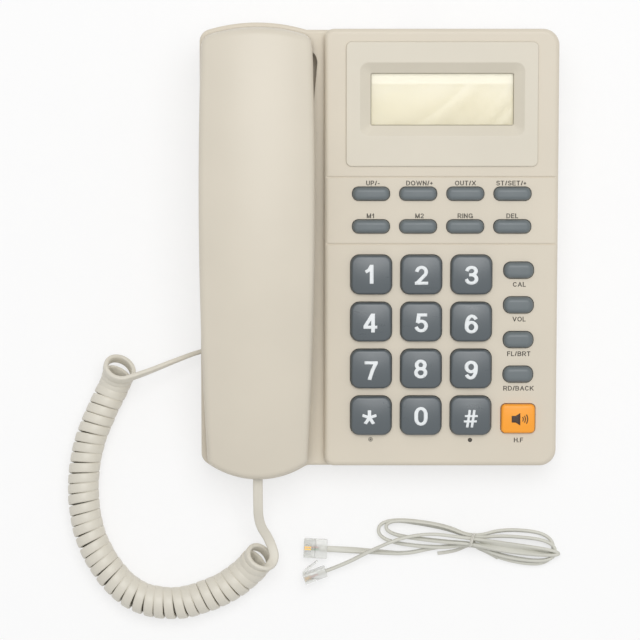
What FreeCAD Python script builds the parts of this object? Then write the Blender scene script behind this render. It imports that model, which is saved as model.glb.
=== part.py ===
import FreeCAD, Part
import math
import os
from types import SimpleNamespace

import Sketcher

V = FreeCAD.Vector

# Driving sizes in millimetres and degrees. X runs across the phone, Y towards its back, Z up.
SIZES = {
    # Base in plan: a rectangular panel block beside a handset cradle that ends in two round lobes.
    "base_width": 175.0,
    "panel_front": -104.7,
    "panel_back": 108.5,
    "panel_left": -26.8,
    "cradle_x": -59.4,
    "back_lobe_tip": 112.0,
    "back_lobe_radius": 84.0,
    "front_lobe_tip": -112.0,
    "front_lobe_radius": 43.0,
    "panel_corner": 8.0,
    "panel_step_corner": 5.0,
    "cradle_corner": 6.0,
    "lobe_blend": 5.0,
    # Base in height: the panel slopes down to the front, and the cradle deck lies below it.
    "panel_tilt": 7.0,
    "panel_mid_height": 37.0,
    "deck_drop": 6.0,
    "seam_height": 14.2,
    "base_wall": 2.2,
    "panel_edge": 2.4,
    "deck_edge": 1.6,
    "cover_edge": 1.4,
    # Feet and base screws
    "foot_height": 2.5,
    "foot_diameter": 12.0,
    "foot_seat": 0.8,
    "foot_x": 70.0,
    "foot_y": 88.0,
    "screw_right_x": 79.0,
    "screw_left_x": -79.0,
    "screw_right_back_y": 98.0,
    "screw_right_front_y": -98.6,
    "screw_left_back_y": 44.0,
    "screw_left_front_y": -28.0,
    "screw_shank": 2.9,
    "screw_head": 5.6,
    "screw_head_height": 2.0,
    "screw_hole_gap": 0.1,
    "screw_head_gap": 0.5,
    "base_screw_web": 3.5,
    "base_screw_reach": 9.0,
    "boss_foot_height": 10.0,
    "boss_diameter": 7.4,
    # Key panel
    "key_gap": 0.35,
    "key_seat_gap": 0.3,
    "key_flange": 1.1,
    "key_flange_thickness": 1.2,
    "key_travel": 1.8,
    "key_crown_radius": 60.0,
    "dial_key_width": 20.0,
    "dial_key_depth": 19.1,
    "dial_key_corner": 4.3,
    "dial_key_rise": 4.0,
    "dial_key_edge": 1.5,
    "dial_first_x": -3.74,
    "dial_column_pitch": 24.5,
    "dial_first_y": -10.67,
    "dial_row_pitch": 23.22,
    "function_key_width": 18.0,
    "function_key_depth": 6.4,
    "function_key_corner": 2.9,
    "function_key_rise": 3.0,
    "function_key_edge": 2.2,
    "function_first_x": -3.9,
    "function_column_pitch": 23.0,
    "function_first_y": 28.93,
    "function_row_pitch": 16.03,
    "side_key_width": 14.5,
    "side_key_depth": 7.9,
    "side_key_corner": 3.5,
    "side_key_rise": 3.0,
    "side_key_edge": 2.4,
    "side_key_x": 68.4,
    "side_first_y": -8.56,
    "side_row_pitch": 17.13,
    "speaker_key_width": 16.6,
    "speaker_key_depth": 14.3,
    "speaker_key_corner": 2.2,
    "speaker_key_rise": 3.0,
    "speaker_key_edge": 1.5,
    "speaker_key_x": 68.6,
    "speaker_key_y": -81.9,
    "groove_width": 0.9,
    "groove_depth": 0.6,
    "groove_back_y": 37.1,
    "groove_front_y": 4.28,
    "groove_margin": 1.0,
    # Key mat and main board under the panel
    "dome_diameter": 6.0,
    "dome_gap": 0.3,
    "dome_height": 2.2,
    "mat_thickness": 1.0,
    "mat_margin": 1.6,
    "board_thickness": 1.6,
    "board_side_margin": 5.6,
    "board_end_margin": 2.0,
    "board_post_diameter": 4.0,
    "board_post_inset": 2.2,
    # Display
    "bezel_x": 30.6,
    "bezel_y": 72.5,
    "bezel_width": 93.5,
    "bezel_depth": 60.6,
    "bezel_corner": 2.8,
    "bezel_rise": 1.0,
    "bezel_seat": 1.0,
    "bezel_gap": 0.05,
    "bezel_edge": 0.6,
    "bezel_neck": 2.0,
    "bezel_neck_width": 82.0,
    "bezel_neck_depth": 38.0,
    "window_x": 30.7,
    "window_y": 74.8,
    "window_width": 69.7,
    "window_depth": 25.5,
    "window_slope": 5.2,
    "window_step": 0.8,
    "window_corner": 0.9,
    "window_slope_corner": 4.2,
    "window_rim": 0.7,
    "lens_lip": 3.0,
    "lens_thickness": 1.2,
    "lcd_lip": 4.5,
    "lcd_thickness": 2.8,
    # Cradle wells, in the panel's own frame
    "well_half_width": 24.8,
    "ear_well_back_x": -29.4,
    "ear_well_front_x": -33.4,
    "ear_well_back": 99.4,
    "ear_well_front": 57.0,
    "ear_well_floor": 15.0,
    "mouth_well_back": -62.0,
    "mouth_well_front": -104.0,
    "mouth_well_floor": 8.0,
    "well_corner": 7.0,
    # Hook plunger and switch
    "plunger_x": -48.0,
    "plunger_y": 70.0,
    "plunger_width": 9.0,
    "plunger_depth": 6.0,
    "plunger_corner": 1.4,
    "plunger_stand": 0.2,
    "plunger_length": 10.0,
    "plunger_gap": 0.3,
    "plunger_flange": 1.4,
    "plunger_flange_thickness": 1.5,
    "hook_switch_gap": 1.1,
    "hook_switch_width": 13.0,
    "hook_switch_depth": 7.0,
    "hook_switch_height": 6.5,
    # Loudspeaker and hands-free microphone on the floor of the lower cover
    "speaker_x": 34.0,
    "speaker_y": 62.0,
    "speaker_diameter": 50.0,
    "speaker_rim": 3.0,
    "speaker_cone_height": 11.0,
    "magnet_diameter": 24.0,
    "magnet_height": 7.0,
    "grille_slot_width": 2.0,
    "grille_slot_pitch": 4.4,
    "mic_x": 40.0,
    "mic_y": -94.0,
    "mic_diameter": 9.7,
    "mic_height": 4.5,
    "mic_hole": 1.8,
    # Jacks and plugs
    "line_jack_x": 20.0,
    "cord_jack_y": -48.3,
    "jack_wall": 1.2,
    "jack_back": 2.0,
    "line_plug_width": 9.65,
    "cord_plug_width": 7.65,
    "plug_thickness": 6.5,
    "plug_length": 11.7,
    "plug_gap": 0.15,
    "plug_setback": 1.0,
    "latch_width": 3.2,
    "latch_thickness": 1.0,
    "latch_length": 10.0,
    "latch_pressed_lean": 8.0,
    "latch_free_lean": 23.0,
    "plug_body_thickness": 4.6,
    # Handset, in the panel's own frame
    "ear_tip": 109.8,
    "mouth_tip": -110.6,
    "ear_half_width": 26.8,
    "mouth_half_width": 24.5,
    "side_radius": 2400.0,
    "ear_end_radius": 78.0,
    "mouth_end_radius": 43.0,
    "ear_corner": 6.5,
    "mouth_corner": 5.0,
    "handset_wall": 2.0,
    "handset_top": 24.0,
    "handset_arch_radius": 510.0,
    "handset_crown_radius": 72.0,
    "handset_edge": 4.0,
    "handset_part_depth": 11.0,
    "handset_thickness": 17.0,
    "well_gap": 1.2,
    "cap_gap": 0.6,
    "cap_corner": 8.0,
    "sound_hole": 2.2,
    "ear_hole_ring": 9.0,
    "mouth_hole_ring": 5.0,
    "receiver_diameter": 34.0,
    "receiver_height": 8.0,
    "transmitter_diameter": 12.0,
    "transmitter_height": 6.0,
    "transmitter_y": -84.0,
    "weight_length": 60.0,
    "weight_width": 24.0,
    "weight_height": 7.0,
    "weight_seat": 1.0,
    "weight_seat_length": 40.0,
    "handset_screw_y": 46.0,
    "handset_screw_web": 2.6,
    "handset_screw_reach": 7.5,
    "handset_jack_lift": 3.6,
    "handset_jack_inset": 6.0,
    # Curly handset cord
    "curl_wire": 2.7,
    "curl_radius": 6.3,
    "curl_lift": 0.35,
    "curl_turns": 40.53,
    "curl_start_angle": 135.0,
    "curl_end_stretch": 1.5,
    # Folded line cord, drawn in at the waist by a twist tie
    "line_wire": 2.4,
    "hank_x": 47.2,
    "hank_y": -143.0,
    "hank_turn": -6.9,
    "hank_left_length": 46.0,
    "hank_right_length": 42.5,
    "hank_lobe_half_width": 7.6,
    "hank_waist_half_width": 1.2,
    "hank_neck": 16.0,
    "hank_shrink": 2.4,
    "hank_narrowing": 2.0,
    "hank_layer": 3.2,
    "hank_waist_lift": 2.8,
    "hank_ground_gap": 0.1,
    "tie_wire": 1.2,
    "tie_gap": 1.35,
}

doc = FreeCAD.newDocument("desk_phone")
sheet = doc.addObject("Spreadsheet::Sheet", "size")
for row, (name, value) in enumerate(SIZES.items(), 1):
    sheet.set(f"A{row}", name)
    sheet.set(f"B{row}", str(value))
    sheet.setAlias(f"B{row}", name)
doc.recompute()


class Dim:
    """A size that holds its formula on the sheet's cells and its present value."""

    def __init__(self, text, value):
        self.text = text
        self.value = value

    def __add__(self, other):
        other = dim(other)
        return Dim(f"({self.text} + {other.text})", self.value + other.value)

    def __sub__(self, other):
        other = dim(other)
        return Dim(f"({self.text} - {other.text})", self.value - other.value)

    def __mul__(self, other):
        other = dim(other)
        return Dim(f"({self.text} * {other.text})", self.value * other.value)

    def __truediv__(self, other):
        other = dim(other)
        return Dim(f"({self.text} / {other.text})", self.value / other.value)

    def __radd__(self, other):
        return dim(other) + self

    def __rsub__(self, other):
        return dim(other) - self

    def __rmul__(self, other):
        return dim(other) * self

    def __neg__(self):
        return dim(0) - self

    def root(self):
        return Dim(f"sqrt({self.text})", math.sqrt(self.value))


def dim(size):
    """A plain number as a Dim, or the Dim itself."""
    if isinstance(size, Dim):
        return size
    return Dim(f"({float(size)})", float(size))


D = SimpleNamespace(**{name: Dim(f"size.{name}", float(sheet.get(name))) for name in SIZES})
TILT = math.radians(D.panel_tilt.value)
SIN = Dim("sin(size.panel_tilt)", math.sin(TILT))
COS = Dim("cos(size.panel_tilt)", math.cos(TILT))

parts = []


def finished(label, thing):
    """Names a finished piece, whose label names its file."""
    thing.Label = label
    parts.append(thing)
    return thing


def bind(thing, path, size):
    """Ties one property to the sheet."""
    thing.setExpression(path, dim(size).text)


def move_to(thing, x=0, y=0, z=0):
    """Ties a piece's place in the phone's frame to the sheet."""
    for axis, size in zip("xyz", (x, y, z)):
        bind(thing, f"Placement.Base.{axis}", size)
    return thing


def on_panel(thing, x=0, along=0, lift=0):
    """Sets a piece in the panel's frame: x across, along up the slope, lift off the panel's face."""
    along = dim(along)
    lift = dim(lift)
    thing.Placement = FreeCAD.Placement(V(), FreeCAD.Rotation(V(1, 0, 0), D.panel_tilt.value))
    bind(thing, "Placement.Rotation.Angle", D.panel_tilt)
    return move_to(thing, x, along * COS - lift * SIN, D.panel_mid_height + along * SIN + lift * COS)


def new_body(name):
    return doc.addObject("PartDesign::Body", name)


def sketch_on(body, role="XY_Plane", lift=0):
    """A sketch on one of the body's own planes, or lifted off it."""
    sketch = body.newObject("Sketcher::SketchObject", "sketch")
    plane = next(item for item in body.Origin.OriginFeatures if item.Role == role)
    sketch.AttachmentSupport = [(plane, "")]
    sketch.MapMode = "FlatFace"
    bind(sketch, "AttachmentOffset.Base.z", lift)
    return sketch


def sketch_on_slope(body, lift):
    """A sketch parallel to the sloping panel, in a body that stands upright."""
    sketch = sketch_on(body)
    sketch.AttachmentOffset = FreeCAD.Placement(V(), FreeCAD.Rotation(V(1, 0, 0), D.panel_tilt.value))
    bind(sketch, "AttachmentOffset.Rotation.Angle", D.panel_tilt)
    bind(sketch, "AttachmentOffset.Base.y", -lift * SIN)
    bind(sketch, "AttachmentOffset.Base.z", D.panel_mid_height + lift * COS)
    return sketch


def rule(sketch, kind, *where):
    """Adds a shape rule, such as Horizontal or Tangent."""
    sketch.addConstraint(Sketcher.Constraint(kind, *where))


def fix(sketch, kind, *where):
    """Adds a measured rule whose size, the last value, is tied to the sheet."""
    size = dim(where[-1])
    index = sketch.addConstraint(Sketcher.Constraint(kind, *where[:-1], size.value))
    bind(sketch, f"Constraints[{index}]", size)


def at(x, y):
    return V(dim(x).value, dim(y).value, 0)


def ring_of_lines(sketch, points):
    """Closed straight-sided outline whose corners are not yet placed; returns its first line's number."""
    first = sketch.GeometryCount
    count = len(points)
    for start, end in zip(points, points[1:] + points[:1]):
        sketch.addGeometry(Part.LineSegment(start, end), False)
    for step in range(count):
        rule(sketch, "Coincident", first + step, 2, first + (step + 1) % count, 1)
    return first


def polygon(sketch, corners):
    """Straight-sided outline with every corner placed."""
    first = ring_of_lines(sketch, [at(x, y) for x, y in corners])
    for step, (x, y) in enumerate(corners):
        fix(sketch, "DistanceX", -1, 1, first + step, 1, x)
        fix(sketch, "DistanceY", -1, 1, first + step, 1, y)


def rectangle(sketch, width, depth, x=0, y=0):
    """Sharp-cornered rectangle about a centre."""
    right, left = dim(x) + width / 2, dim(x) - width / 2
    back, front = dim(y) + depth / 2, dim(y) - depth / 2
    first = ring_of_lines(sketch, [at(left, front), at(right, front), at(right, back), at(left, back)])
    for step, kind in enumerate(("Horizontal", "Vertical", "Horizontal", "Vertical")):
        rule(sketch, kind, first + step)
    fix(sketch, "DistanceX", -1, 1, first, 1, left)
    fix(sketch, "DistanceX", -1, 1, first + 2, 1, right)
    fix(sketch, "DistanceY", -1, 1, first, 1, front)
    fix(sketch, "DistanceY", -1, 1, first + 2, 1, back)


def rounded_rectangle(sketch, width, depth, corner, x=0, y=0):
    """Rectangle about a centre with four equal round corners."""
    first = sketch.GeometryCount
    right, left = dim(x) + width / 2, dim(x) - width / 2
    back, front = dim(y) + depth / 2, dim(y) - depth / 2
    corner = dim(corner)
    sides = (
        (left + corner, front, right - corner, front),
        (right, front + corner, right, back - corner),
        (right - corner, back, left + corner, back),
        (left, back - corner, left, front + corner),
    )
    centres = (
        (right - corner, front + corner),
        (right - corner, back - corner),
        (left + corner, back - corner),
        (left + corner, front + corner),
    )
    for quarter, ((x0, y0, x1, y1), centre) in enumerate(zip(sides, centres)):
        sketch.addGeometry(Part.LineSegment(at(x0, y0), at(x1, y1)), False)
        circle = Part.Circle(at(*centre), V(0, 0, 1), corner.value)
        begin = (quarter - 1) * math.pi / 2
        sketch.addGeometry(Part.ArcOfCircle(circle, begin, begin + math.pi / 2), False)
    for step in range(8):
        rule(sketch, "Tangent", first + step, 2, first + (step + 1) % 8, 1)
    for step, kind in ((0, "Horizontal"), (2, "Vertical"), (4, "Horizontal"), (6, "Vertical")):
        rule(sketch, kind, first + step)
    for step in (3, 5, 7):
        rule(sketch, "Equal", first + 1, first + step)
    fix(sketch, "Radius", first + 1, corner)
    fix(sketch, "DistanceX", -1, 1, first + 6, 1, left)
    fix(sketch, "DistanceX", -1, 1, first + 2, 1, right)
    fix(sketch, "DistanceY", -1, 1, first, 1, front)
    fix(sketch, "DistanceY", -1, 1, first + 4, 1, back)


def disc(sketch, diameter, x=0, y=0):
    """Circle about a centre."""
    index = sketch.addGeometry(Part.Circle(at(x, y), V(0, 0, 1), dim(diameter).value / 2), False)
    fix(sketch, "Diameter", index, diameter)
    fix(sketch, "DistanceX", -1, 1, index, 3, x)
    fix(sketch, "DistanceY", -1, 1, index, 3, y)


def arc_between(sketch, centre, radius, start, end):
    """Adds an arc, counter-clockwise from start to end, about a placed centre."""
    middle = at(*centre)
    begin = math.atan2(start.y - middle.y, start.x - middle.x)
    finish = math.atan2(end.y - middle.y, end.x - middle.x)
    circle = Part.Circle(middle, V(0, 0, 1), dim(radius).value)
    return sketch.addGeometry(Part.ArcOfCircle(circle, begin, finish), False)


def pad(body, sketch, length):
    feature = body.newObject("PartDesign::Pad", "pad")
    feature.Profile = sketch
    bind(feature, "Length", length)


def pocket_above(body, sketch):
    """Cuts away everything of the body above a sketch."""
    feature = body.newObject("PartDesign::Pocket", "pocket")
    feature.Profile = sketch
    feature.Reversed = True
    feature.Type = "ThroughAll"


def turned(body, kind, sketch, axis, angle):
    """Revolution or Groove about one of the sketch's axes."""
    feature = body.newObject(f"PartDesign::{kind}", kind.lower())
    feature.Profile = sketch
    feature.ReferenceAxis = (sketch, [axis])
    feature.Midplane = True
    bind(feature, "Angle", angle)


def fillet(body, radius, chosen):
    """Rounds the body's edges that the test picks."""
    doc.recompute()
    tip = body.Tip
    names = [f"Edge{number}" for number, edge in enumerate(tip.Shape.Edges, 1) if chosen(edge)]
    feature = body.newObject("PartDesign::Fillet", "fillet")
    feature.Base = (tip, names)
    bind(feature, "Radius", radius)


def stands_upright(edge):
    """True for an edge along the body's own Z."""
    return len(edge.Vertexes) == 2 and abs(edge.tangentAt(edge.FirstParameter).z) > 0.999


def middle_of(edge):
    return edge.valueAt((edge.FirstParameter + edge.LastParameter) / 2)


def boolean(kind, name, first, others):
    """Part::Cut of the others out of the first piece, or Part::MultiFuse of them all."""
    if kind == "Cut":
        feature = doc.addObject("Part::Cut", name)
        feature.Base = first
        feature.Tool = others[0] if len(others) == 1 else group(f"{name}_tools", others)
    else:
        feature = doc.addObject("Part::MultiFuse", name)
        feature.Shapes = [first] + others
        feature.Refine = True
    return feature


def group(name, pieces):
    """Separate solids kept together."""
    feature = doc.addObject("Part::Compound", name)
    feature.Links = pieces
    return feature


def block(name, width, depth, height):
    """Part::Box with its sizes tied to the sheet."""
    feature = doc.addObject("Part::Box", name)
    bind(feature, "Length", width)
    bind(feature, "Width", depth)
    bind(feature, "Height", height)
    return feature


def rod(name, diameter, height):
    """Part::Cylinder with its sizes tied to the sheet."""
    feature = doc.addObject("Part::Cylinder", name)
    bind(feature, "Radius", dim(diameter) / 2)
    bind(feature, "Height", height)
    return feature


def base_outline(sketch, inset):
    """The base in plan: four straight walls and the cradle's two lobes, drawn in by inset."""
    inset = dim(inset)
    right = D.base_width / 2 - inset
    left = inset - D.base_width / 2
    front = D.panel_front + inset
    back = D.panel_back - inset
    back_radius = D.back_lobe_radius - inset
    front_radius = D.front_lobe_radius - inset
    back_centre = (D.cradle_x, D.back_lobe_tip - D.back_lobe_radius)
    front_centre = (D.cradle_x, D.front_lobe_tip + D.front_lobe_radius)

    def chord(radius, offset):
        return (radius * radius - offset * offset).root()

    back_join = at(D.cradle_x + chord(back_radius, back - back_centre[1]), back)
    back_left = at(left, back_centre[1] + chord(back_radius, left - D.cradle_x))
    front_left = at(left, front_centre[1] - chord(front_radius, left - D.cradle_x))
    front_join = at(D.cradle_x + chord(front_radius, front - front_centre[1]), front)
    right_wall = sketch.addGeometry(Part.LineSegment(at(right, front), at(right, back)), False)
    back_wall = sketch.addGeometry(Part.LineSegment(at(right, back), back_join), False)
    back_lobe = arc_between(sketch, back_centre, back_radius, back_join, back_left)
    left_wall = sketch.addGeometry(Part.LineSegment(back_left, front_left), False)
    front_lobe = arc_between(sketch, front_centre, front_radius, front_left, front_join)
    front_wall = sketch.addGeometry(Part.LineSegment(front_join, at(right, front)), False)
    ring = (right_wall, back_wall, back_lobe, left_wall, front_lobe, front_wall)
    for this, following in zip(ring, ring[1:] + ring[:1]):
        rule(sketch, "Coincident", this, 2, following, 1)
    rule(sketch, "Vertical", right_wall)
    rule(sketch, "Horizontal", back_wall)
    rule(sketch, "Vertical", left_wall)
    rule(sketch, "Horizontal", front_wall)
    fix(sketch, "DistanceX", -1, 1, right_wall, 1, right)
    fix(sketch, "DistanceY", -1, 1, back_wall, 1, back)
    fix(sketch, "DistanceX", -1, 1, left_wall, 1, left)
    fix(sketch, "DistanceY", -1, 1, front_wall, 1, front)
    for lobe, centre, radius in ((back_lobe, back_centre, back_radius),
                                 (front_lobe, front_centre, front_radius)):
        fix(sketch, "Radius", lobe, radius)
        fix(sketch, "DistanceX", -1, 1, lobe, 3, centre[0])
        fix(sketch, "DistanceY", -1, 1, lobe, 3, centre[1])


def panel_outline(sketch, inset):
    """The raised panel in plan, drawn in by inset."""
    right = D.base_width / 2 - inset
    left = D.panel_left + inset
    front = D.panel_front + inset
    back = D.panel_back - inset
    rectangle(sketch, right - left, back - front, (right + left) / 2, (back + front) / 2)


def round_upright(body, radius, low_x, high_x):
    """Rounds the body's upright edges between two places across the phone."""
    fillet(body, radius, lambda edge: stands_upright(edge) and low_x < middle_of(edge).x < high_x)


def round_base_corners(body, inset):
    """Rounds the upright corners of a block drawn on the base's outline."""
    cradle = D.cradle_x.value
    half = D.base_width.value / 2
    round_upright(body, D.panel_corner - inset, 0, half * 2)
    round_upright(body, D.lobe_blend + inset, cradle, 0)
    round_upright(body, D.cradle_corner - inset, -half * 2, cradle)


def round_panel_corners(body, inset):
    """Rounds the upright corners of a block drawn on the panel's outline."""
    half = D.base_width.value / 2
    round_upright(body, D.panel_corner - inset, 0, half * 2)
    round_upright(body, D.panel_step_corner, -half, 0)


def upright_block(name, draw, round_corners, inset, bottom, height):
    """Block with upright walls on one of the base's outlines."""
    body = new_body(name)
    sketch = sketch_on(body, lift=bottom)
    draw(sketch, inset)
    pad(body, sketch, height)
    round_corners(body, dim(inset))
    return body


def sloped_block(name, draw, round_corners, inset, lift):
    """Block from the seam up to a plane parallel to the panel."""
    body = new_body(name)
    sketch = sketch_on(body, lift=D.seam_height)
    draw(sketch, inset)
    pad(body, sketch, D.panel_mid_height * 2)
    top = sketch_on_slope(body, lift)
    rectangle(top, D.base_width * 3, D.base_width * 3)
    pocket_above(body, top)
    round_corners(body, dim(inset))
    return body


def round_rim(body, radius, lift):
    """Rounds the edges of a block's sloping top."""
    def on_top(edge):
        spot = middle_of(edge)
        height = (spot.z - D.panel_mid_height.value) * COS.value - spot.y * SIN.value
        return abs(height - lift.value) < 0.01
    fillet(body, radius, on_top)


def well(name, draw, top, floor, outset):
    """Upright-walled solid of a cradle well, in the panel's frame, grown outwards by outset."""
    body = new_body(name)
    sketch = sketch_on(body, lift=-floor - outset)
    draw(sketch, outset)
    pad(body, sketch, floor + outset + top)
    fillet(body, D.well_corner + outset, stands_upright)
    return on_panel(body)


def ear_well_outline(sketch, outset):
    left = D.cradle_x - D.well_half_width - outset
    back = D.ear_well_back + outset
    front = D.ear_well_front - outset
    polygon(sketch, [(left, front), (D.ear_well_front_x + outset, front),
                     (D.ear_well_back_x + outset, back), (left, back)])


def mouth_well_outline(sketch, outset):
    width = (D.well_half_width + outset) * 2
    depth = D.mouth_well_back - D.mouth_well_front + outset * 2
    rectangle(sketch, width, depth, D.cradle_x, (D.mouth_well_back + D.mouth_well_front) / 2)


def roof_height(y, drop):
    """Height of the middle of the panel's wall, or of the deck's, above a place."""
    return D.panel_mid_height + y * SIN / COS - (drop + D.base_wall / 2) / COS


FLOOR_TOP = D.foot_height + D.base_wall
BASE_SCREWS = (
    ("right_back", D.screw_right_x, D.screw_right_back_y, dim(0)),
    ("right_front", D.screw_right_x, D.screw_right_front_y, dim(0)),
    ("left_back", D.screw_left_x, D.screw_left_back_y, D.deck_drop),
    ("left_front", D.screw_left_x, D.screw_left_front_y, D.deck_drop),
)
SCREW_SEAT = D.boss_foot_height - D.base_screw_web
SCREW_HOLE = D.screw_shank + D.screw_hole_gap * 2
SCREW_HEAD_HOLE = D.screw_head + D.screw_head_gap * 2

dial = SimpleNamespace(width=D.dial_key_width, depth=D.dial_key_depth, corner=D.dial_key_corner,
                       rise=D.dial_key_rise, edge=D.dial_key_edge)
function = SimpleNamespace(width=D.function_key_width, depth=D.function_key_depth,
                           corner=D.function_key_corner, rise=D.function_key_rise,
                           edge=D.function_key_edge)
side = SimpleNamespace(width=D.side_key_width, depth=D.side_key_depth, corner=D.side_key_corner,
                       rise=D.side_key_rise, edge=D.side_key_edge)
speaker = SimpleNamespace(width=D.speaker_key_width, depth=D.speaker_key_depth,
                          corner=D.speaker_key_corner, rise=D.speaker_key_rise,
                          edge=D.speaker_key_edge)
DIAL_ROWS = (("1", "2", "3"), ("4", "5", "6"), ("7", "8", "9"), ("star", "0", "hash"))
FUNCTION_ROWS = (("up", "down", "out", "set"), ("memory_1", "memory_2", "ring", "delete"))
SIDE_KEYS = ("call", "volume", "flash", "redial")

# Every key as its label, its kind and its centre on the panel.
KEYS = []
for row, names in enumerate(DIAL_ROWS):
    for column, name in enumerate(names):
        x = D.dial_first_x + D.dial_column_pitch * column
        KEYS.append((f"key_{name}", dial, x, D.dial_first_y - D.dial_row_pitch * row))
for row, names in enumerate(FUNCTION_ROWS):
    for column, name in enumerate(names):
        x = D.function_first_x + D.function_column_pitch * column
        KEYS.append((f"{name}_key", function, x, D.function_first_y - D.function_row_pitch * row))
for row, name in enumerate(SIDE_KEYS):
    KEYS.append((f"{name}_key", side, D.side_key_x, D.side_first_y - D.side_row_pitch * row))
KEYS.append(("speaker_key", speaker, D.speaker_key_x, D.speaker_key_y))

# Levels under the panel, measured from its face: the keys' seats, the mat's domes and the board.
KEY_SEAT = -D.base_wall - D.key_seat_gap
KEY_FOOT = KEY_SEAT - D.key_flange_thickness
DOME_TOP = KEY_FOOT - D.key_travel - D.dome_gap
MAT_TOP = DOME_TOP - D.dome_height
BOARD_TOP = MAT_TOP - D.mat_thickness
MAT_LEFT = D.dial_first_x - D.dial_key_width / 2 - D.mat_margin
MAT_RIGHT = D.speaker_key_x + D.speaker_key_width / 2 + D.mat_margin
MAT_BACK = D.function_first_y + D.function_key_depth / 2 + D.mat_margin
MAT_FRONT = D.dial_first_y - D.dial_row_pitch * 3 - D.dial_key_depth / 2 - D.mat_margin
BOARD_X = (MAT_LEFT + MAT_RIGHT) / 2
BOARD_Y = (MAT_BACK + MAT_FRONT) / 2
BOARD_WIDTH = MAT_RIGHT - MAT_LEFT + D.board_side_margin * 2
BOARD_DEPTH = MAT_BACK - MAT_FRONT + D.board_end_margin * 2


def board_posts():
    """Four posts that hang from the panel and hold the main board."""
    reach_x = BOARD_WIDTH / 2 - D.board_post_inset
    reach_y = BOARD_DEPTH / 2 - D.board_post_inset
    posts = []
    for step_x in (-1, 1):
        for step_y in (-1, 1):
            post = rod("board_post", D.board_post_diameter, -BOARD_TOP - D.base_wall / 2)
            posts.append(on_panel(post, BOARD_X + reach_x * step_x, BOARD_Y + reach_y * step_y, BOARD_TOP))
    return posts


def key_hole(name, kind, x, y):
    """Cutter for one key's hole in the panel."""
    body = new_body(name)
    sketch = sketch_on(body, lift=-D.base_wall * 2)
    gap = D.key_gap
    rounded_rectangle(sketch, kind.width + gap * 2, kind.depth + gap * 2, kind.corner + gap)
    pad(body, sketch, D.base_wall * 3)
    return on_panel(body, x, y)


def display_cutters():
    """Cutters for the bezel's seat and for the opening under it."""
    seat = new_body("bezel_seat")
    sketch = sketch_on(seat, lift=-D.bezel_seat)
    rounded_rectangle(sketch, D.bezel_width + D.bezel_gap * 2, D.bezel_depth + D.bezel_gap * 2,
                      D.bezel_corner + D.bezel_gap, D.bezel_x, D.bezel_y)
    pad(seat, sketch, D.base_wall * 2)
    opening = new_body("display_opening")
    sketch = sketch_on(opening, lift=-D.base_wall * 2)
    rectangle(sketch, D.bezel_neck_width + D.bezel_gap * 2, D.bezel_neck_depth + D.bezel_gap * 2,
              D.window_x, D.window_y)
    pad(opening, sketch, D.base_wall * 2)
    return [on_panel(seat), on_panel(opening)]


def groove_cutter(y):
    """Cutter for one of the two grooves across the panel."""
    width = D.base_width / 2 - D.groove_margin - D.panel_left
    cutter = block("groove", width, D.groove_width, D.groove_depth * 3)
    return on_panel(cutter, D.panel_left, y - D.groove_width / 2, -D.groove_depth)


def plunger_hole():
    """Cutter through the floor of the ear well for the hook plunger."""
    body = new_body("plunger_hole")
    sketch = sketch_on(body, lift=-D.ear_well_floor - D.base_wall * 2)
    gap = D.plunger_gap
    rounded_rectangle(sketch, D.plunger_width + gap * 2, D.plunger_depth + gap * 2, D.plunger_corner + gap)
    pad(body, sketch, D.base_wall * 3)
    return on_panel(body, D.plunger_x, D.plunger_y)


def base_upper_housing():
    deck_skin = sloped_block("deck_skin", base_outline, round_base_corners, 0, -D.deck_drop)
    round_rim(deck_skin, D.deck_edge, -D.deck_drop)
    panel_skin = sloped_block("panel_skin", panel_outline, round_panel_corners, 0, dim(0))
    round_rim(panel_skin, D.panel_edge, dim(0))
    wall = D.base_wall
    deck_core = sloped_block("deck_core", base_outline, round_base_corners, wall, -D.deck_drop - wall)
    panel_core = sloped_block("panel_core", panel_outline, round_panel_corners, wall, -wall)
    skin = boolean("Fuse", "housing_skin", deck_skin, [panel_skin])
    core = boolean("Fuse", "housing_core", deck_core, [panel_core])
    shell = boolean("Cut", "housing_shell", skin, [core])
    cup_top = -D.deck_drop - wall / 2
    cups = [
        well("ear_cup", ear_well_outline, cup_top, D.ear_well_floor, wall),
        well("mouth_cup", mouth_well_outline, cup_top, D.mouth_well_floor, wall),
    ]
    bosses = []
    cutters = [
        well("ear_space", ear_well_outline, dim(0), D.ear_well_floor, dim(0)),
        well("mouth_space", mouth_well_outline, dim(0), D.mouth_well_floor, dim(0)),
        plunger_hole(),
        groove_cutter(D.groove_back_y),
        groove_cutter(D.groove_front_y),
    ]
    for name, x, y, drop in BASE_SCREWS:
        boss = rod(f"boss_{name}", D.boss_diameter, roof_height(y, drop) - D.boss_foot_height)
        bosses.append(move_to(boss, x, y, D.boss_foot_height))
        pilot = rod(f"pilot_{name}", SCREW_HOLE, D.base_screw_reach)
        cutters.append(move_to(pilot, x, y, D.boss_foot_height))
    cutters += display_cutters()
    cutters += [key_hole(f"{label}_hole", kind, x, y) for label, kind, x, y in KEYS]
    solid = boolean("Fuse", "housing_solid", shell, cups + bosses + board_posts())
    finished("base_upper_housing", boolean("Cut", "base_upper_housing", solid, cutters))


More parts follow.
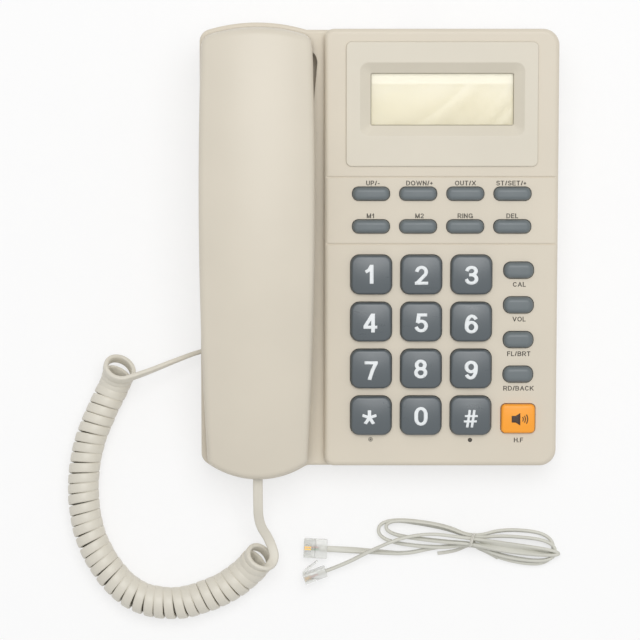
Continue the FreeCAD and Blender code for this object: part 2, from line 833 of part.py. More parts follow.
JACK_HEIGHT = D.plug_thickness + D.plug_gap * 2 + D.jack_wall * 2
JACK_DEPTH = D.plug_length + D.plug_setback - D.base_wall + D.jack_back
JACK_Z = FLOOR_TOP + JACK_HEIGHT / 2
SOCKET_HEIGHT = D.plug_thickness + D.plug_gap * 2
SOCKET_DEPTH = JACK_DEPTH - D.jack_back
LINE_SOCKET_WIDTH = D.line_plug_width + D.plug_gap * 2
CORD_SOCKET_WIDTH = D.cord_plug_width + D.plug_gap * 2
LEFT_WALL = D.base_wall - D.base_width / 2
BACK_WALL = D.panel_back - D.base_wall
SWITCH_TOP = (D.panel_mid_height + D.plunger_y * SIN
              - (D.ear_well_floor + D.plunger_length) * COS - D.hook_switch_gap)
SWITCH_Y = D.plunger_y * COS + (D.ear_well_floor + D.plunger_length) * SIN
SWITCH_FOOT = SWITCH_TOP - D.hook_switch_height


def grille_slots():
    """Sound slots through the floor under the loudspeaker, shorter towards its rim."""
    slots = []
    for step in range(-4, 5):
        offset = D.grille_slot_pitch * step
        reach = D.speaker_diameter / 2 - D.speaker_rim
        length = (reach * reach - offset * offset).root() * 2
        slot = block("grille_slot", length, D.grille_slot_width, D.base_wall * 2)
        slots.append(move_to(slot, D.speaker_x - length / 2, D.speaker_y + offset - D.grille_slot_width / 2,
                             D.foot_height - D.base_wall / 2))
    return slots


def base_lower_cover():
    skin = upright_block("cover_skin", base_outline, round_base_corners, 0, D.foot_height,
                         D.seam_height - D.foot_height)
    fillet(skin, D.cover_edge, lambda edge: abs(middle_of(edge).z - D.foot_height.value) < 0.01)
    core = upright_block("cover_core", base_outline, round_base_corners, D.base_wall, FLOOR_TOP,
                         D.seam_height)
    shell = boolean("Cut", "cover_shell", skin, [core])
    towers = []
    cutters = grille_slots()
    for name, x, y, drop in BASE_SCREWS:
        tower = rod(f"tower_{name}", SCREW_HEAD_HOLE + D.base_wall, D.boss_foot_height - D.foot_height)
        towers.append(move_to(tower, x, y, D.foot_height))
        hole = rod(f"screw_hole_{name}", SCREW_HOLE, D.boss_foot_height)
        cutters.append(move_to(hole, x, y, SCREW_SEAT))
        head_hole = rod(f"head_hole_{name}", SCREW_HEAD_HOLE, SCREW_SEAT - D.foot_height + D.base_wall)
        cutters.append(move_to(head_hole, x, y, D.foot_height - D.base_wall))
    pillar = block("switch_pillar", D.hook_switch_width, D.hook_switch_depth, SWITCH_FOOT - D.foot_height)
    towers.append(move_to(pillar, D.plunger_x - D.hook_switch_width / 2, SWITCH_Y - D.hook_switch_depth / 2,
                          D.foot_height))
    for x, y in FEET:
        seat = rod("foot_recess", D.foot_diameter + D.plug_gap * 2, D.foot_seat * 2)
        cutters.append(move_to(seat, x, y, D.foot_height - D.foot_seat))
    line_window = block("line_window", LINE_SOCKET_WIDTH, D.base_wall * 3, SOCKET_HEIGHT)
    cutters.append(move_to(line_window, D.line_jack_x - LINE_SOCKET_WIDTH / 2, BACK_WALL - D.base_wall,
                           JACK_Z - SOCKET_HEIGHT / 2))
    cord_window = block("cord_window", D.base_wall * 3, CORD_SOCKET_WIDTH, SOCKET_HEIGHT)
    cutters.append(move_to(cord_window, LEFT_WALL - D.base_wall * 2, D.cord_jack_y - CORD_SOCKET_WIDTH / 2,
                           JACK_Z - SOCKET_HEIGHT / 2))
    mic_hole = rod("mic_sound_hole", D.mic_hole, D.base_wall * 3)
    cutters.append(move_to(mic_hole, D.mic_x, D.mic_y, D.foot_height - D.base_wall))
    solid = boolean("Fuse", "cover_solid", shell, towers)
    finished("base_lower_cover", boolean("Cut", "base_lower_cover", solid, cutters))


FEET = [(D.foot_x * step_x, D.foot_y * step_y) for step_x in (-1, 1) for step_y in (-1, 1)]


def rubber_feet():
    feet = []
    for x, y in FEET:
        feet.append(move_to(rod("foot", D.foot_diameter, D.foot_height + D.foot_seat), x, y))
    finished("rubber_feet", group("rubber_feet", feet))


def screw(name, reach):
    """Screw standing on its head, with the shank from the head's top face up."""
    head = move_to(rod(f"{name}_head", D.screw_head, D.screw_head_height), z=-D.screw_head_height)
    return boolean("Fuse", name, head, [rod(f"{name}_shank", D.screw_shank, reach)])


def base_screws():
    screws = []
    for name, x, y, drop in BASE_SCREWS:
        reach = D.boss_foot_height + D.base_screw_reach - SCREW_SEAT - D.screw_head_gap
        screws.append(move_to(screw(f"base_screw_{name}", reach), x, y, SCREW_SEAT))
    finished("base_screws", group("base_screws", screws))


def crown(body, rise, reach):
    """Trims a key's top to a shallow dome."""
    sketch = sketch_on(body, "YZ_Plane")
    radius = D.key_crown_radius
    edge = (radius * radius - reach * reach).root() - radius + rise
    top = rise * 2
    axis_line = sketch.addGeometry(Part.LineSegment(at(0, rise), at(0, top)), False)
    top_line = sketch.addGeometry(Part.LineSegment(at(0, top), at(reach, top)), False)
    outer_line = sketch.addGeometry(Part.LineSegment(at(reach, top), at(reach, edge)), False)
    dome = arc_between(sketch, (0, rise - radius), radius, at(reach, edge), at(0, rise))
    ring = (axis_line, top_line, outer_line, dome)
    for this, following in zip(ring, ring[1:] + ring[:1]):
        rule(sketch, "Coincident", this, 2, following, 1)
    rule(sketch, "Horizontal", top_line)
    rule(sketch, "Vertical", outer_line)
    rule(sketch, "PointOnObject", axis_line, 1, -2)
    rule(sketch, "PointOnObject", axis_line, 2, -2)
    rule(sketch, "PointOnObject", dome, 3, -2)
    fix(sketch, "Radius", dome, radius)
    fix(sketch, "DistanceY", -1, 1, axis_line, 1, rise)
    fix(sketch, "DistanceY", -1, 1, top_line, 1, top)
    fix(sketch, "DistanceX", -1, 1, outer_line, 1, reach)
    turned(body, "Groove", sketch, "V_Axis", 360)


def key_cap(label, kind, x, y):
    """One key: a flange that catches under the panel and a domed cap through it."""
    body = new_body(label)
    flange = sketch_on(body, lift=KEY_FOOT)
    spread = D.key_flange * 2
    rounded_rectangle(flange, kind.width + spread, kind.depth + spread, kind.corner + D.key_flange)
    pad(body, flange, D.key_flange_thickness)
    cap = sketch_on(body, lift=KEY_FOOT)
    rounded_rectangle(cap, kind.width, kind.depth, kind.corner)
    pad(body, cap, kind.rise - KEY_FOOT)
    crown(body, kind.rise, (kind.width + kind.depth) / 2)

    def on_rim(edge):
        return any(edge.isSame(other) for face in body.Tip.Shape.Faces
                   if isinstance(face.Surface, Part.Sphere) for other in face.Edges)
    fillet(body, kind.edge, on_rim)
    finished(label, on_panel(body, x, y))


def key_mat():
    body = new_body("key_mat")
    sketch = sketch_on(body, lift=BOARD_TOP)
    rectangle(sketch, MAT_RIGHT - MAT_LEFT, MAT_BACK - MAT_FRONT, BOARD_X, BOARD_Y)
    pad(body, sketch, D.mat_thickness)
    domes = sketch_on(body, lift=MAT_TOP)
    for label, kind, x, y in KEYS:
        disc(domes, D.dome_diameter, x, y)
    pad(body, domes, D.dome_height)
    finished("key_mat", on_panel(body))


def main_board():
    board = block("main_board", BOARD_WIDTH, BOARD_DEPTH, D.board_thickness)
    finished("main_board", on_panel(board, BOARD_X - BOARD_WIDTH / 2, BOARD_Y - BOARD_DEPTH / 2,
                                    BOARD_TOP - D.board_thickness))


BEZEL_FOOT = -D.bezel_seat - D.bezel_neck


def display_bezel():
    body = new_body("display_bezel")
    plate = sketch_on(body, lift=-D.bezel_seat)
    rounded_rectangle(plate, D.bezel_width, D.bezel_depth, D.bezel_corner, D.bezel_x, D.bezel_y)
    pad(body, plate, D.bezel_seat + D.bezel_rise)
    neck = sketch_on(body, lift=BEZEL_FOOT)
    rectangle(neck, D.bezel_neck_width, D.bezel_neck_depth, D.window_x, D.window_y)
    pad(body, neck, D.bezel_neck)
    fillet(body, D.bezel_edge, lambda edge: abs(middle_of(edge).z - D.bezel_rise.value) < 0.01)
    mouth = sketch_on(body, lift=D.bezel_rise)
    slope = D.window_slope * 2
    rounded_rectangle(mouth, D.window_width + slope, D.window_depth + slope, D.window_slope_corner,
                      D.window_x, D.window_y)
    window = sketch_on(body, lift=BEZEL_FOOT + D.window_step)
    rounded_rectangle(window, D.window_width, D.window_depth, D.window_corner, D.window_x, D.window_y)
    loft = body.newObject("PartDesign::SubtractiveLoft", "window_slope")
    loft.Profile = mouth
    loft.Sections = [window]
    loft.Ruled = True
    step = sketch_on(body, lift=BEZEL_FOOT)
    rounded_rectangle(step, D.window_width, D.window_depth, D.window_corner, D.window_x, D.window_y)
    pocket_above(body, step)

    def on_mouth(edge):
        spot = middle_of(edge)
        near_x = abs(spot.x - D.window_x.value) < (D.window_width.value + slope.value) / 2 + 0.01
        near_y = abs(spot.y - D.window_y.value) < (D.window_depth.value + slope.value) / 2 + 0.01
        return near_x and near_y and abs(spot.z - D.bezel_rise.value) < 0.01
    fillet(body, D.window_rim, on_mouth)
    finished("display_bezel", on_panel(body))


def display_plate(label, lip, thickness, top):
    """Flat plate behind the window, wider than it by lip."""
    width = D.window_width + lip * 2
    depth = D.window_depth + lip * 2
    plate = block(label, width, depth, thickness)
    finished(label, on_panel(plate, D.window_x - width / 2, D.window_y - depth / 2, top - thickness))


def hook_plunger():
    body = new_body("hook_plunger")
    foot = -D.ear_well_floor - D.plunger_length
    flange = sketch_on(body, lift=foot)
    spread = D.plunger_flange * 2
    rounded_rectangle(flange, D.plunger_width + spread, D.plunger_depth + spread,
                      D.plunger_corner + D.plunger_flange)
    pad(body, flange, D.plunger_flange_thickness)
    shank = sketch_on(body, lift=foot)
    rounded_rectangle(shank, D.plunger_width, D.plunger_depth, D.plunger_corner)
    pad(body, shank, D.plunger_length + D.plunger_stand)
    finished("hook_plunger", on_panel(body, D.plunger_x, D.plunger_y))


def hook_switch():
    switch = block("hook_switch", D.hook_switch_width, D.hook_switch_depth, D.hook_switch_height)
    finished("hook_switch", move_to(switch, D.plunger_x - D.hook_switch_width / 2,
                                    SWITCH_Y - D.hook_switch_depth / 2, SWITCH_FOOT))


def loudspeaker():
    body = new_body("loudspeaker")
    sketch = sketch_on(body, "XZ_Plane")
    rim = D.speaker_diameter / 2
    magnet = D.magnet_diameter / 2
    cone_top = D.speaker_rim + D.speaker_cone_height
    points = [(0, 0), (rim, 0), (rim, D.speaker_rim), (magnet, cone_top),
              (magnet, cone_top + D.magnet_height), (0, cone_top + D.magnet_height)]
    first = ring_of_lines(sketch, [at(x, y) for x, y in points])
    rule(sketch, "Coincident", first, 1, -1, 1)
    rule(sketch, "PointOnObject", first + 5, 1, -2)
    rule(sketch, "PointOnObject", first, 2, -1)
    for step in (2, 3, 4):
        fix(sketch, "DistanceX", -1, 1, first + step, 1, points[step][0])
        fix(sketch, "DistanceY", -1, 1, first + step, 1, points[step][1])
    fix(sketch, "DistanceX", -1, 1, first, 2, rim)
    fix(sketch, "DistanceY", -1, 1, first + 5, 1, points[5][1])
    turned(body, "Revolution", sketch, "V_Axis", 360)
    finished("loudspeaker", move_to(body, D.speaker_x, D.speaker_y, FLOOR_TOP))


def hands_free_mic():
    mic = rod("hands_free_mic", D.mic_diameter, D.mic_height)
    finished("hands_free_mic", move_to(mic, D.mic_x, D.mic_y, FLOOR_TOP))


def line_jack():
    width = LINE_SOCKET_WIDTH + D.jack_wall * 2
    shell = move_to(block("line_jack_shell", width, JACK_DEPTH, JACK_HEIGHT), D.line_jack_x - width / 2,
                    BACK_WALL - JACK_DEPTH, FLOOR_TOP)
    socket = move_to(block("line_socket", LINE_SOCKET_WIDTH, SOCKET_DEPTH, SOCKET_HEIGHT),
                     D.line_jack_x - LINE_SOCKET_WIDTH / 2, BACK_WALL - SOCKET_DEPTH,
                     JACK_Z - SOCKET_HEIGHT / 2)
    finished("line_jack", boolean("Cut", "line_jack", shell, [socket]))


def cord_jack():
    width = CORD_SOCKET_WIDTH + D.jack_wall * 2
    shell = move_to(block("cord_jack_shell", JACK_DEPTH, width, JACK_HEIGHT), LEFT_WALL,
                    D.cord_jack_y - width / 2, FLOOR_TOP)
    socket = move_to(block("cord_socket", SOCKET_DEPTH, CORD_SOCKET_WIDTH, SOCKET_HEIGHT), LEFT_WALL,
                     D.cord_jack_y - CORD_SOCKET_WIDTH / 2, JACK_Z - SOCKET_HEIGHT / 2)
    finished("cord_jack", boolean("Cut", "cord_jack", shell, [socket]))


def base_end_plug():
    plug = block("base_end_plug", D.plug_length, D.cord_plug_width, D.plug_thickness)
    finished("base_end_plug", move_to(plug, D.plug_setback - D.base_width / 2,
                                      D.cord_jack_y - D.cord_plug_width / 2, JACK_Z - D.plug_thickness / 2))


ARCH_SWEEP = 40
ARCH_AXIS = D.handset_top - D.handset_arch_radius
HANDSET_PART = D.handset_top - D.handset_part_depth
HANDSET_UNDERSIDE = D.handset_top - D.handset_thickness
EAR_CAP_FLOOR = D.cap_gap - D.ear_well_floor
MOUTH_CAP_FLOOR = D.cap_gap - D.mouth_well_floor
CAP_HALF_WIDTH = D.well_half_width - D.well_gap
EAR_CAP = (D.ear_well_front + D.well_gap, D.ear_well_back - D.well_gap, EAR_CAP_FLOOR)
MOUTH_CAP = (D.mouth_well_front + D.well_gap, D.mouth_well_back - D.well_gap, MOUTH_CAP_FLOOR)
HANDSET_SCREW_DROP = D.handset_screw_y * D.handset_screw_y / (D.handset_arch_radius * 2)
HANDSET_SCREW_JOIN = HANDSET_PART - HANDSET_SCREW_DROP
HANDSET_SCREW_SEAT = HANDSET_SCREW_JOIN - D.handset_screw_web
HANDSET_JACK_FRONT = D.mouth_tip + D.handset_jack_inset
RECEIVER_Y = (D.ear_well_front + D.ear_well_back) / 2


def on_handset(thing, x=0, along=0, lift=0):
    """Sets a piece in the lying handset's frame, which is the panel's above the cradle."""
    return on_panel(thing, D.cradle_x + x, along, lift)


def handset_outline(sketch, inset):
    """The handset in plan: two round ends and two slightly bowed sides, drawn in by inset."""
    inset = dim(inset)
    ear_half = D.ear_half_width - inset
    mouth_half = D.mouth_half_width - inset
    ear_radius = D.ear_end_radius - inset
    mouth_radius = D.mouth_end_radius - inset
    ear_centre = D.ear_tip - D.ear_end_radius
    mouth_centre = D.mouth_tip + D.mouth_end_radius
    ear_y = ear_centre + (ear_radius * ear_radius - ear_half * ear_half).root()
    mouth_y = mouth_centre - (mouth_radius * mouth_radius - mouth_half * mouth_half).root()
    ear_right, ear_left = at(ear_half, ear_y), at(-ear_half, ear_y)
    mouth_right, mouth_left = at(mouth_half, mouth_y), at(-mouth_half, mouth_y)

    def side_centre(low, high, towards):
        run = high - low
        bow = math.sqrt(D.side_radius.value ** 2 - run.Length ** 2 / 4)
        across = V(run.y, -run.x, 0).normalize() * (bow * towards)
        middle = (low + high) / 2 + across
        return middle.x, middle.y

    ear_end = arc_between(sketch, (0, ear_centre), ear_radius, ear_right, ear_left)
    left = arc_between(sketch, side_centre(mouth_left, ear_left, 1), D.side_radius, ear_left, mouth_left)
    mouth_end = arc_between(sketch, (0, mouth_centre), mouth_radius, mouth_left, mouth_right)
    right = arc_between(sketch, side_centre(mouth_right, ear_right, -1), D.side_radius, mouth_right,
                        ear_right)
    ring = (ear_end, left, mouth_end, right)
    for this, following in zip(ring, ring[1:] + ring[:1]):
        rule(sketch, "Coincident", this, 2, following, 1)
    for end, centre, radius in ((ear_end, ear_centre, ear_radius), (mouth_end, mouth_centre, mouth_radius)):
        rule(sketch, "PointOnObject", end, 3, -2)
        fix(sketch, "DistanceY", -1, 1, end, 3, centre)
        fix(sketch, "Radius", end, radius)
    fix(sketch, "DistanceX", -1, 1, ear_end, 1, ear_half)
    fix(sketch, "DistanceX", -1, 1, left, 1, -ear_half)
    fix(sketch, "DistanceX", -1, 1, mouth_end, 1, -mouth_half)
    fix(sketch, "DistanceX", -1, 1, right, 1, mouth_half)
    fix(sketch, "Radius", left, D.side_radius)
    fix(sketch, "Radius", right, D.side_radius)


def arch_sketch(body):
    """Sketch across the handset with the axis of its lengthwise arch, far below it."""
    sketch = sketch_on(body, "XZ_Plane")
    axis = sketch.addGeometry(Part.LineSegment(at(-10, ARCH_AXIS), at(10, ARCH_AXIS)), True)
    rule(sketch, "Symmetric", axis, 1, axis, 2, -2)
    fix(sketch, "DistanceY", -1, 1, axis, 1, ARCH_AXIS)
    fix(sketch, "DistanceX", axis, 1, axis, 2, D.ear_half_width)
    return sketch


def cut_above_crown(body, inset):
    """Trims the top to the arch, which is crowned across."""
    sketch = arch_sketch(body)
    radius = D.handset_crown_radius - inset
    centre = D.handset_top - D.handset_crown_radius
    reach = D.ear_half_width * 1.5
    edge = centre + (radius * radius - reach * reach).root()
    top = D.handset_top * 3
    dome = arc_between(sketch, (0, centre), radius, at(reach, edge), at(-reach, edge))
    left = sketch.addGeometry(Part.LineSegment(at(-reach, edge), at(-reach, top)), False)
    cap = sketch.addGeometry(Part.LineSegment(at(-reach, top), at(reach, top)), False)
    right = sketch.addGeometry(Part.LineSegment(at(reach, top), at(reach, edge)), False)
    ring = (dome, left, cap, right)
    for this, following in zip(ring, ring[1:] + ring[:1]):
        rule(sketch, "Coincident", this, 2, following, 1)
    rule(sketch, "Vertical", left)
    rule(sketch, "Horizontal", cap)
    rule(sketch, "Vertical", right)
    rule(sketch, "PointOnObject", dome, 3, -2)
    fix(sketch, "DistanceY", -1, 1, dome, 3, centre)
    fix(sketch, "Radius", dome, radius)
    fix(sketch, "DistanceX", -1, 1, left, 1, -reach)
    fix(sketch, "DistanceX", -1, 1, right, 1, reach)
    fix(sketch, "DistanceY", -1, 1, cap, 1, top)
    turned(body, "Groove", sketch, "Axis0", ARCH_SWEEP)


def cut_band(body, low, high):
    """Cuts away everything between two levels of the arch."""
    sketch = arch_sketch(body)
    rectangle(sketch, D.ear_half_width * 3, high - low, 0, (high + low) / 2)
    turned(body, "Groove", sketch, "Axis0", ARCH_SWEEP)


def round_handset_ends(body, inset):
    fillet(body, D.ear_corner - inset, lambda edge: stands_upright(edge) and middle_of(edge).y > 0)
    fillet(body, D.mouth_corner - inset, lambda edge: stands_upright(edge) and middle_of(edge).y < 0)


def outer_half(name, inset, overrun):
    """Solid of the handset above its parting line, or of the hollow in it."""
    inset = dim(inset)
    body = new_body(name)
    sketch = sketch_on(body, lift=-D.handset_top)
    handset_outline(sketch, inset)
    pad(body, sketch, D.handset_top * 3)
    round_handset_ends(body, inset)
    cut_above_crown(body, inset)
    cut_band(body, HANDSET_PART - D.handset_top * 3, HANDSET_PART - overrun)
    return on_handset(body)


def inner_half(name, inset, overrun):
    """Solid of the handset below its parting line with its two end caps, or of the hollow in it."""
    inset = dim(inset)
    body = new_body(name)
    sketch = sketch_on(body, lift=-D.handset_top)
    handset_outline(sketch, inset)
    pad(body, sketch, D.handset_top * 3)
    round_handset_ends(body, inset)
    cut_band(body, HANDSET_UNDERSIDE - D.handset_top * 3, HANDSET_UNDERSIDE + inset)
    for front, back, floor in (EAR_CAP, MOUTH_CAP):
        cap = sketch_on(body, lift=floor + inset)
        rounded_rectangle(cap, (CAP_HALF_WIDTH - inset) * 2, back - front - inset * 2, D.cap_corner - inset,
                          0, (front + back) / 2)
        pad(body, cap, D.handset_top)
    cut_band(body, HANDSET_PART + overrun, HANDSET_PART + D.handset_top * 3)
    return on_handset(body)


def sound_holes(count, ring, along):
    """Cutters through an end cap: one in the middle and a ring of others."""
    holes = [on_handset(rod("sound_hole", D.sound_hole, D.ear_well_floor), 0, along, -D.ear_well_floor)]
    for step in range(count):
        turn = 360 * step / count
        x = ring * math.cos(math.radians(turn))
        y = ring * math.sin(math.radians(turn))
        holes.append(on_handset(rod("sound_hole", D.sound_hole, D.ear_well_floor), x, along + y,
                                -D.ear_well_floor))
    return holes


def plug_window():
    """Cutter through the mouth end's wall for the cord's plug."""
    cutter = block("plug_window", CORD_SOCKET_WIDTH, D.handset_jack_inset * 2, SOCKET_HEIGHT)
    return on_handset(cutter, -CORD_SOCKET_WIDTH / 2, D.mouth_tip - D.handset_jack_inset,
                      D.handset_jack_lift - SOCKET_HEIGHT / 2)


def handset_outer_shell():
    skin = outer_half("outer_skin", 0, dim(0))
    def on_crown(edge):
        return any(edge.isSame(other) for face in skin.Tip.Shape.Faces
                   if isinstance(face.Surface, Part.Toroid) and face.Area > 2000 for other in face.Edges)
    fillet(skin, D.handset_edge, on_crown)
    core = outer_half("outer_core", D.handset_wall, D.handset_wall)
    shell = boolean("Cut", "outer_hollow", skin, [core])
    bosses = []
    cutters = [plug_window()]
    boss_top = D.handset_top - HANDSET_SCREW_DROP - D.handset_wall / 2
    for y in (D.handset_screw_y, -D.handset_screw_y):
        boss = rod("handset_boss", D.boss_diameter, boss_top - HANDSET_SCREW_JOIN)
        bosses.append(on_handset(boss, 0, y, HANDSET_SCREW_JOIN))
        pilot = rod("handset_pilot", SCREW_HOLE, D.handset_screw_reach)
        cutters.append(on_handset(pilot, 0, y, HANDSET_SCREW_JOIN))
    solid = boolean("Fuse", "outer_solid", shell, bosses)
    finished("handset_outer_shell", boolean("Cut", "handset_outer_shell", solid, cutters))


def handset_inner_shell():
    skin = inner_half("inner_skin", 0, dim(0))
    core = inner_half("inner_core", D.handset_wall, D.handset_wall)
    shell = boolean("Cut", "inner_hollow", skin, [core])
    floor = HANDSET_UNDERSIDE + D.handset_wall / 2
    weight_seat = block("weight_seat", D.weight_width, D.weight_seat_length,
                        D.weight_seat + D.handset_wall / 2)
    jack_width = CORD_SOCKET_WIDTH + D.jack_wall * 2
    jack_foot = D.handset_jack_lift - JACK_HEIGHT / 2
    jack_floor = MOUTH_CAP_FLOOR + D.handset_wall / 2
    seat_front = MOUTH_CAP[0] + D.handset_wall / 2
    seat_depth = HANDSET_JACK_FRONT + HANDSET_JACK_DEPTH - seat_front
    jack_seat = block("jack_seat", jack_width, seat_depth, jack_foot - jack_floor)
    towers = [
        on_handset(weight_seat, -D.weight_width / 2, -D.weight_seat_length / 2, floor),
        on_handset(jack_seat, -jack_width / 2, seat_front, jack_floor),
    ]
    cutters = sound_holes(6, D.ear_hole_ring, RECEIVER_Y)
    cutters += sound_holes(3, D.mouth_hole_ring, D.transmitter_y)
    cutters.append(plug_window())
    for y in (D.handset_screw_y, -D.handset_screw_y):
        tower = rod("handset_tower", SCREW_HEAD_HOLE + D.handset_wall, HANDSET_SCREW_JOIN - floor
                    + HANDSET_SCREW_DROP)
        towers.append(on_handset(tower, 0, y, floor - HANDSET_SCREW_DROP))
        hole = rod("handset_screw_hole", SCREW_HOLE, D.handset_thickness)
        cutters.append(on_handset(hole, 0, y, HANDSET_SCREW_SEAT))
        head_hole = rod("handset_head_hole", SCREW_HEAD_HOLE, D.handset_thickness)
        cutters.append(on_handset(head_hole, 0, y, HANDSET_SCREW_SEAT - D.handset_thickness))
    solid = boolean("Fuse", "inner_solid", shell, towers)
    finished("handset_inner_shell", boolean("Cut", "handset_inner_shell", solid, cutters))


def handset_insides():
    floor = HANDSET_UNDERSIDE + D.handset_wall
    receiver = rod("receiver_capsule", D.receiver_diameter, D.receiver_height)
    finished("receiver_capsule", on_handset(receiver, 0, RECEIVER_Y, EAR_CAP_FLOOR + D.handset_wall))
    transmitter = rod("transmitter_capsule", D.transmitter_diameter, D.transmitter_height)
    finished("transmitter_capsule",
             on_handset(transmitter, 0, D.transmitter_y, MOUTH_CAP_FLOOR + D.handset_wall))
    weight = block("handset_weight", D.weight_width, D.weight_length, D.weight_height)
    finished("handset_weight", on_handset(weight, -D.weight_width / 2, -D.weight_length / 2,
                                          floor + D.weight_seat))
    screws = []
    for name, y in (("ear", D.handset_screw_y), ("mouth", -D.handset_screw_y)):
        reach = D.handset_screw_web + D.handset_screw_reach - D.screw_head_gap
        screws.append(on_handset(screw(f"handset_screw_{name}", reach), 0, y, HANDSET_SCREW_SEAT))
    finished("handset_screws", group("handset_screws", screws))


HANDSET_PLUG_END = D.mouth_tip + D.plug_setback
HANDSET_SOCKET_DEPTH = HANDSET_PLUG_END + D.plug_length - HANDSET_JACK_FRONT
HANDSET_JACK_DEPTH = HANDSET_SOCKET_DEPTH + D.jack_back


def handset_jack():
    width = CORD_SOCKET_WIDTH + D.jack_wall * 2
    shell = on_handset(block("handset_jack_shell", width, HANDSET_JACK_DEPTH, JACK_HEIGHT), -width / 2,
                       HANDSET_JACK_FRONT, D.handset_jack_lift - JACK_HEIGHT / 2)
    socket = on_handset(block("handset_socket", CORD_SOCKET_WIDTH, HANDSET_SOCKET_DEPTH, SOCKET_HEIGHT),
                        -CORD_SOCKET_WIDTH / 2, HANDSET_JACK_FRONT, D.handset_jack_lift - SOCKET_HEIGHT / 2)
    finished("handset_jack", boolean("Cut", "handset_jack", shell, [socket]))


def handset_end_plug():
    plug = block("handset_end_plug", D.cord_plug_width, D.plug_length, D.plug_thickness)
    finished("handset_end_plug", on_handset(plug, -D.cord_plug_width / 2, HANDSET_PLUG_END,
                                            D.handset_jack_lift - D.plug_thickness / 2))


def rounded_route(points):
    """Edges of a cord's middle line, straight runs joined by tangent arcs, and the arcs' radii."""
    edges = []
    radii = []
    start = points[0]
    for before, corner, after in zip(points, points[1:], points[2:]):
        back = before - corner
        on = after - corner
        reach = 0.45 * min(back.Length, on.Length)
        back.normalize()
        on.normalize()
        half_turn = (math.pi - back.getAngle(on)) / 2
        radius = reach / math.tan(half_turn)
        inward = (back + on).normalize()
        first = corner + back * reach
        last = corner + on * reach
        middle = corner + inward * (radius / math.cos(half_turn) - radius)
        edges.append(Part.makeLine(start, first))
        edges.append(Part.Arc(first, middle, last).toShape())
        radii.append(radius)
        start = last
    edges.append(Part.makeLine(start, points[-1]))
    return edges, radii


def sweep(edges, diameter):
    """Round solid tube along a chain of edges."""
    spine = Part.Wire(edges)
    start = edges[0].valueAt(edges[0].FirstParameter)
    heading = edges[0].tangentAt(edges[0].FirstParameter)
    ring = Part.Wire([Part.makeCircle(diameter / 2, start, heading)])
    shell = Part.BRepOffsetAPI.MakePipeShell(spine)
    shell.add(ring)
    shell.build()
    shell.makeSolid()
    return shell.shape()


def report_tube(label, edges, diameter, shape):
    """Prints a tube's length and how its volume compares with section times length."""
    length = sum(edge.Length for edge in edges)
    share = shape.Volume / (math.pi * diameter ** 2 / 4 * length)
    print(f"{label}: {length:.1f} mm long, volume {share:.4f} of section times length")


def add_solid(label, shape):
    feature = doc.addObject("Part::Feature", label)
    feature.Shape = shape
    finished(label, feature)


def tube(label, points, diameter):
    edges, radii = rounded_route(points)
    shape = sweep(edges, diameter)
    report_tube(label, edges, diameter, shape)
    print(f"{label}: radii " + ", ".join(f"{radius:.1f}" for radius in radii))
    add_solid(label, shape)


def least_gap(points, skip, diameter):
    """Least clear distance between stretches of a tube that are more than skip points apart."""
    least = min((first - second).Length
                for place, first in enumerate(points) for second in points[place + skip:])
    return least - diameter


# Poles of the curly cord's middle line, from the base's end to the handset's: x, y and its height over
# where it lies on the table. Both ends rise towards the sockets that hold them.
CURL_ROUTE = [(-127.6, -55.7, 8.4), (-128.4, -58, 4.4), (-131.3, -65.7, 0), (-136.2, -74.8, 0),
              (-145.2, -96, 0), (-147.6, -121, 0), (-142.4, -146.5, 0), (-124.4, -170.5, 0),
              (-101, -175.4, 0), (-82, -169.4, 0), (-72.8, -164.6, 0), (-64.3, -157.9, 0),
              (-59, -151.2, 5.1), (-57.6, -149.2, 9.6)]


class CurlyCord:
    """Helix around the curly cord's route, with its two end rings drawn out."""

    def __init__(self):
        self.wire = D.curl_wire.value
        self.radius = D.curl_radius.value
        self.turns = D.curl_turns.value
        self.stretch = D.curl_end_stretch.value
        self.first_angle = math.radians(D.curl_start_angle.value)
        ground = self.radius + self.wire / 2 + D.curl_lift.value
        curve = Part.BSplineCurve()
        curve.buildFromPoles([V(x, y, ground + rise) for x, y, rise in CURL_ROUTE], False, 2)
        self.route = curve.toShape()

    def point(self, share):
        """Point of the helix at a share of its turns."""
        length = self.route.Length
        even = (length - 2 * self.stretch) * share
        drawn_out = 1 - math.exp(-share * self.turns) + math.exp(-(1 - share) * self.turns)
        along = min(max(even + self.stretch * drawn_out, 0), length)
        place = self.route.getParameterByLength(along)
        heading = self.route.tangentAt(place)
        right = V(heading.y, -heading.x, 0).normalize()
        angle = self.first_angle - 2 * math.pi * self.turns * share
        ring = right * math.cos(angle) + right.cross(heading) * math.sin(angle)
        return self.route.valueAt(place) + ring * self.radius

    def heading(self, share):
        step = 1e-5
        before = self.point(max(share - step, 0))
        after = self.point(min(share + step, 1))
        return (after - before).normalize()

    def lead_start(self):
        return self.point(0) - self.heading(0) * self.wire

    def lead_end(self):
        return self.point(1) + self.heading(1) * self.wire

    def edges(self):
        """Straight leads at both ends, and two arcs for each quarter turn between them."""
        count = round(self.turns * 4)
        shares = [step / count for step in range(count + 1)]
        edges = [Part.makeLine(self.lead_start(), self.point(0))]
        for low, high in zip(shares, shares[1:]):
            edges += two_arcs(self.point(low), self.heading(low), self.point(high), self.heading(high))
        edges.append(Part.makeLine(self.point(1), self.lead_end()))
        return edges


def arc_from(start, heading, end):
    """Arc that leaves its start along a heading."""
    run = end - start
    side = run - heading * run.dot(heading)
    inward = V(side).normalize()
    radius = run.dot(run) / (2 * side.Length)
    centre = start + inward * radius
    middle = centre + ((start + end) / 2 - centre).normalize() * radius
    return Part.Arc(start, middle, end).toShape()


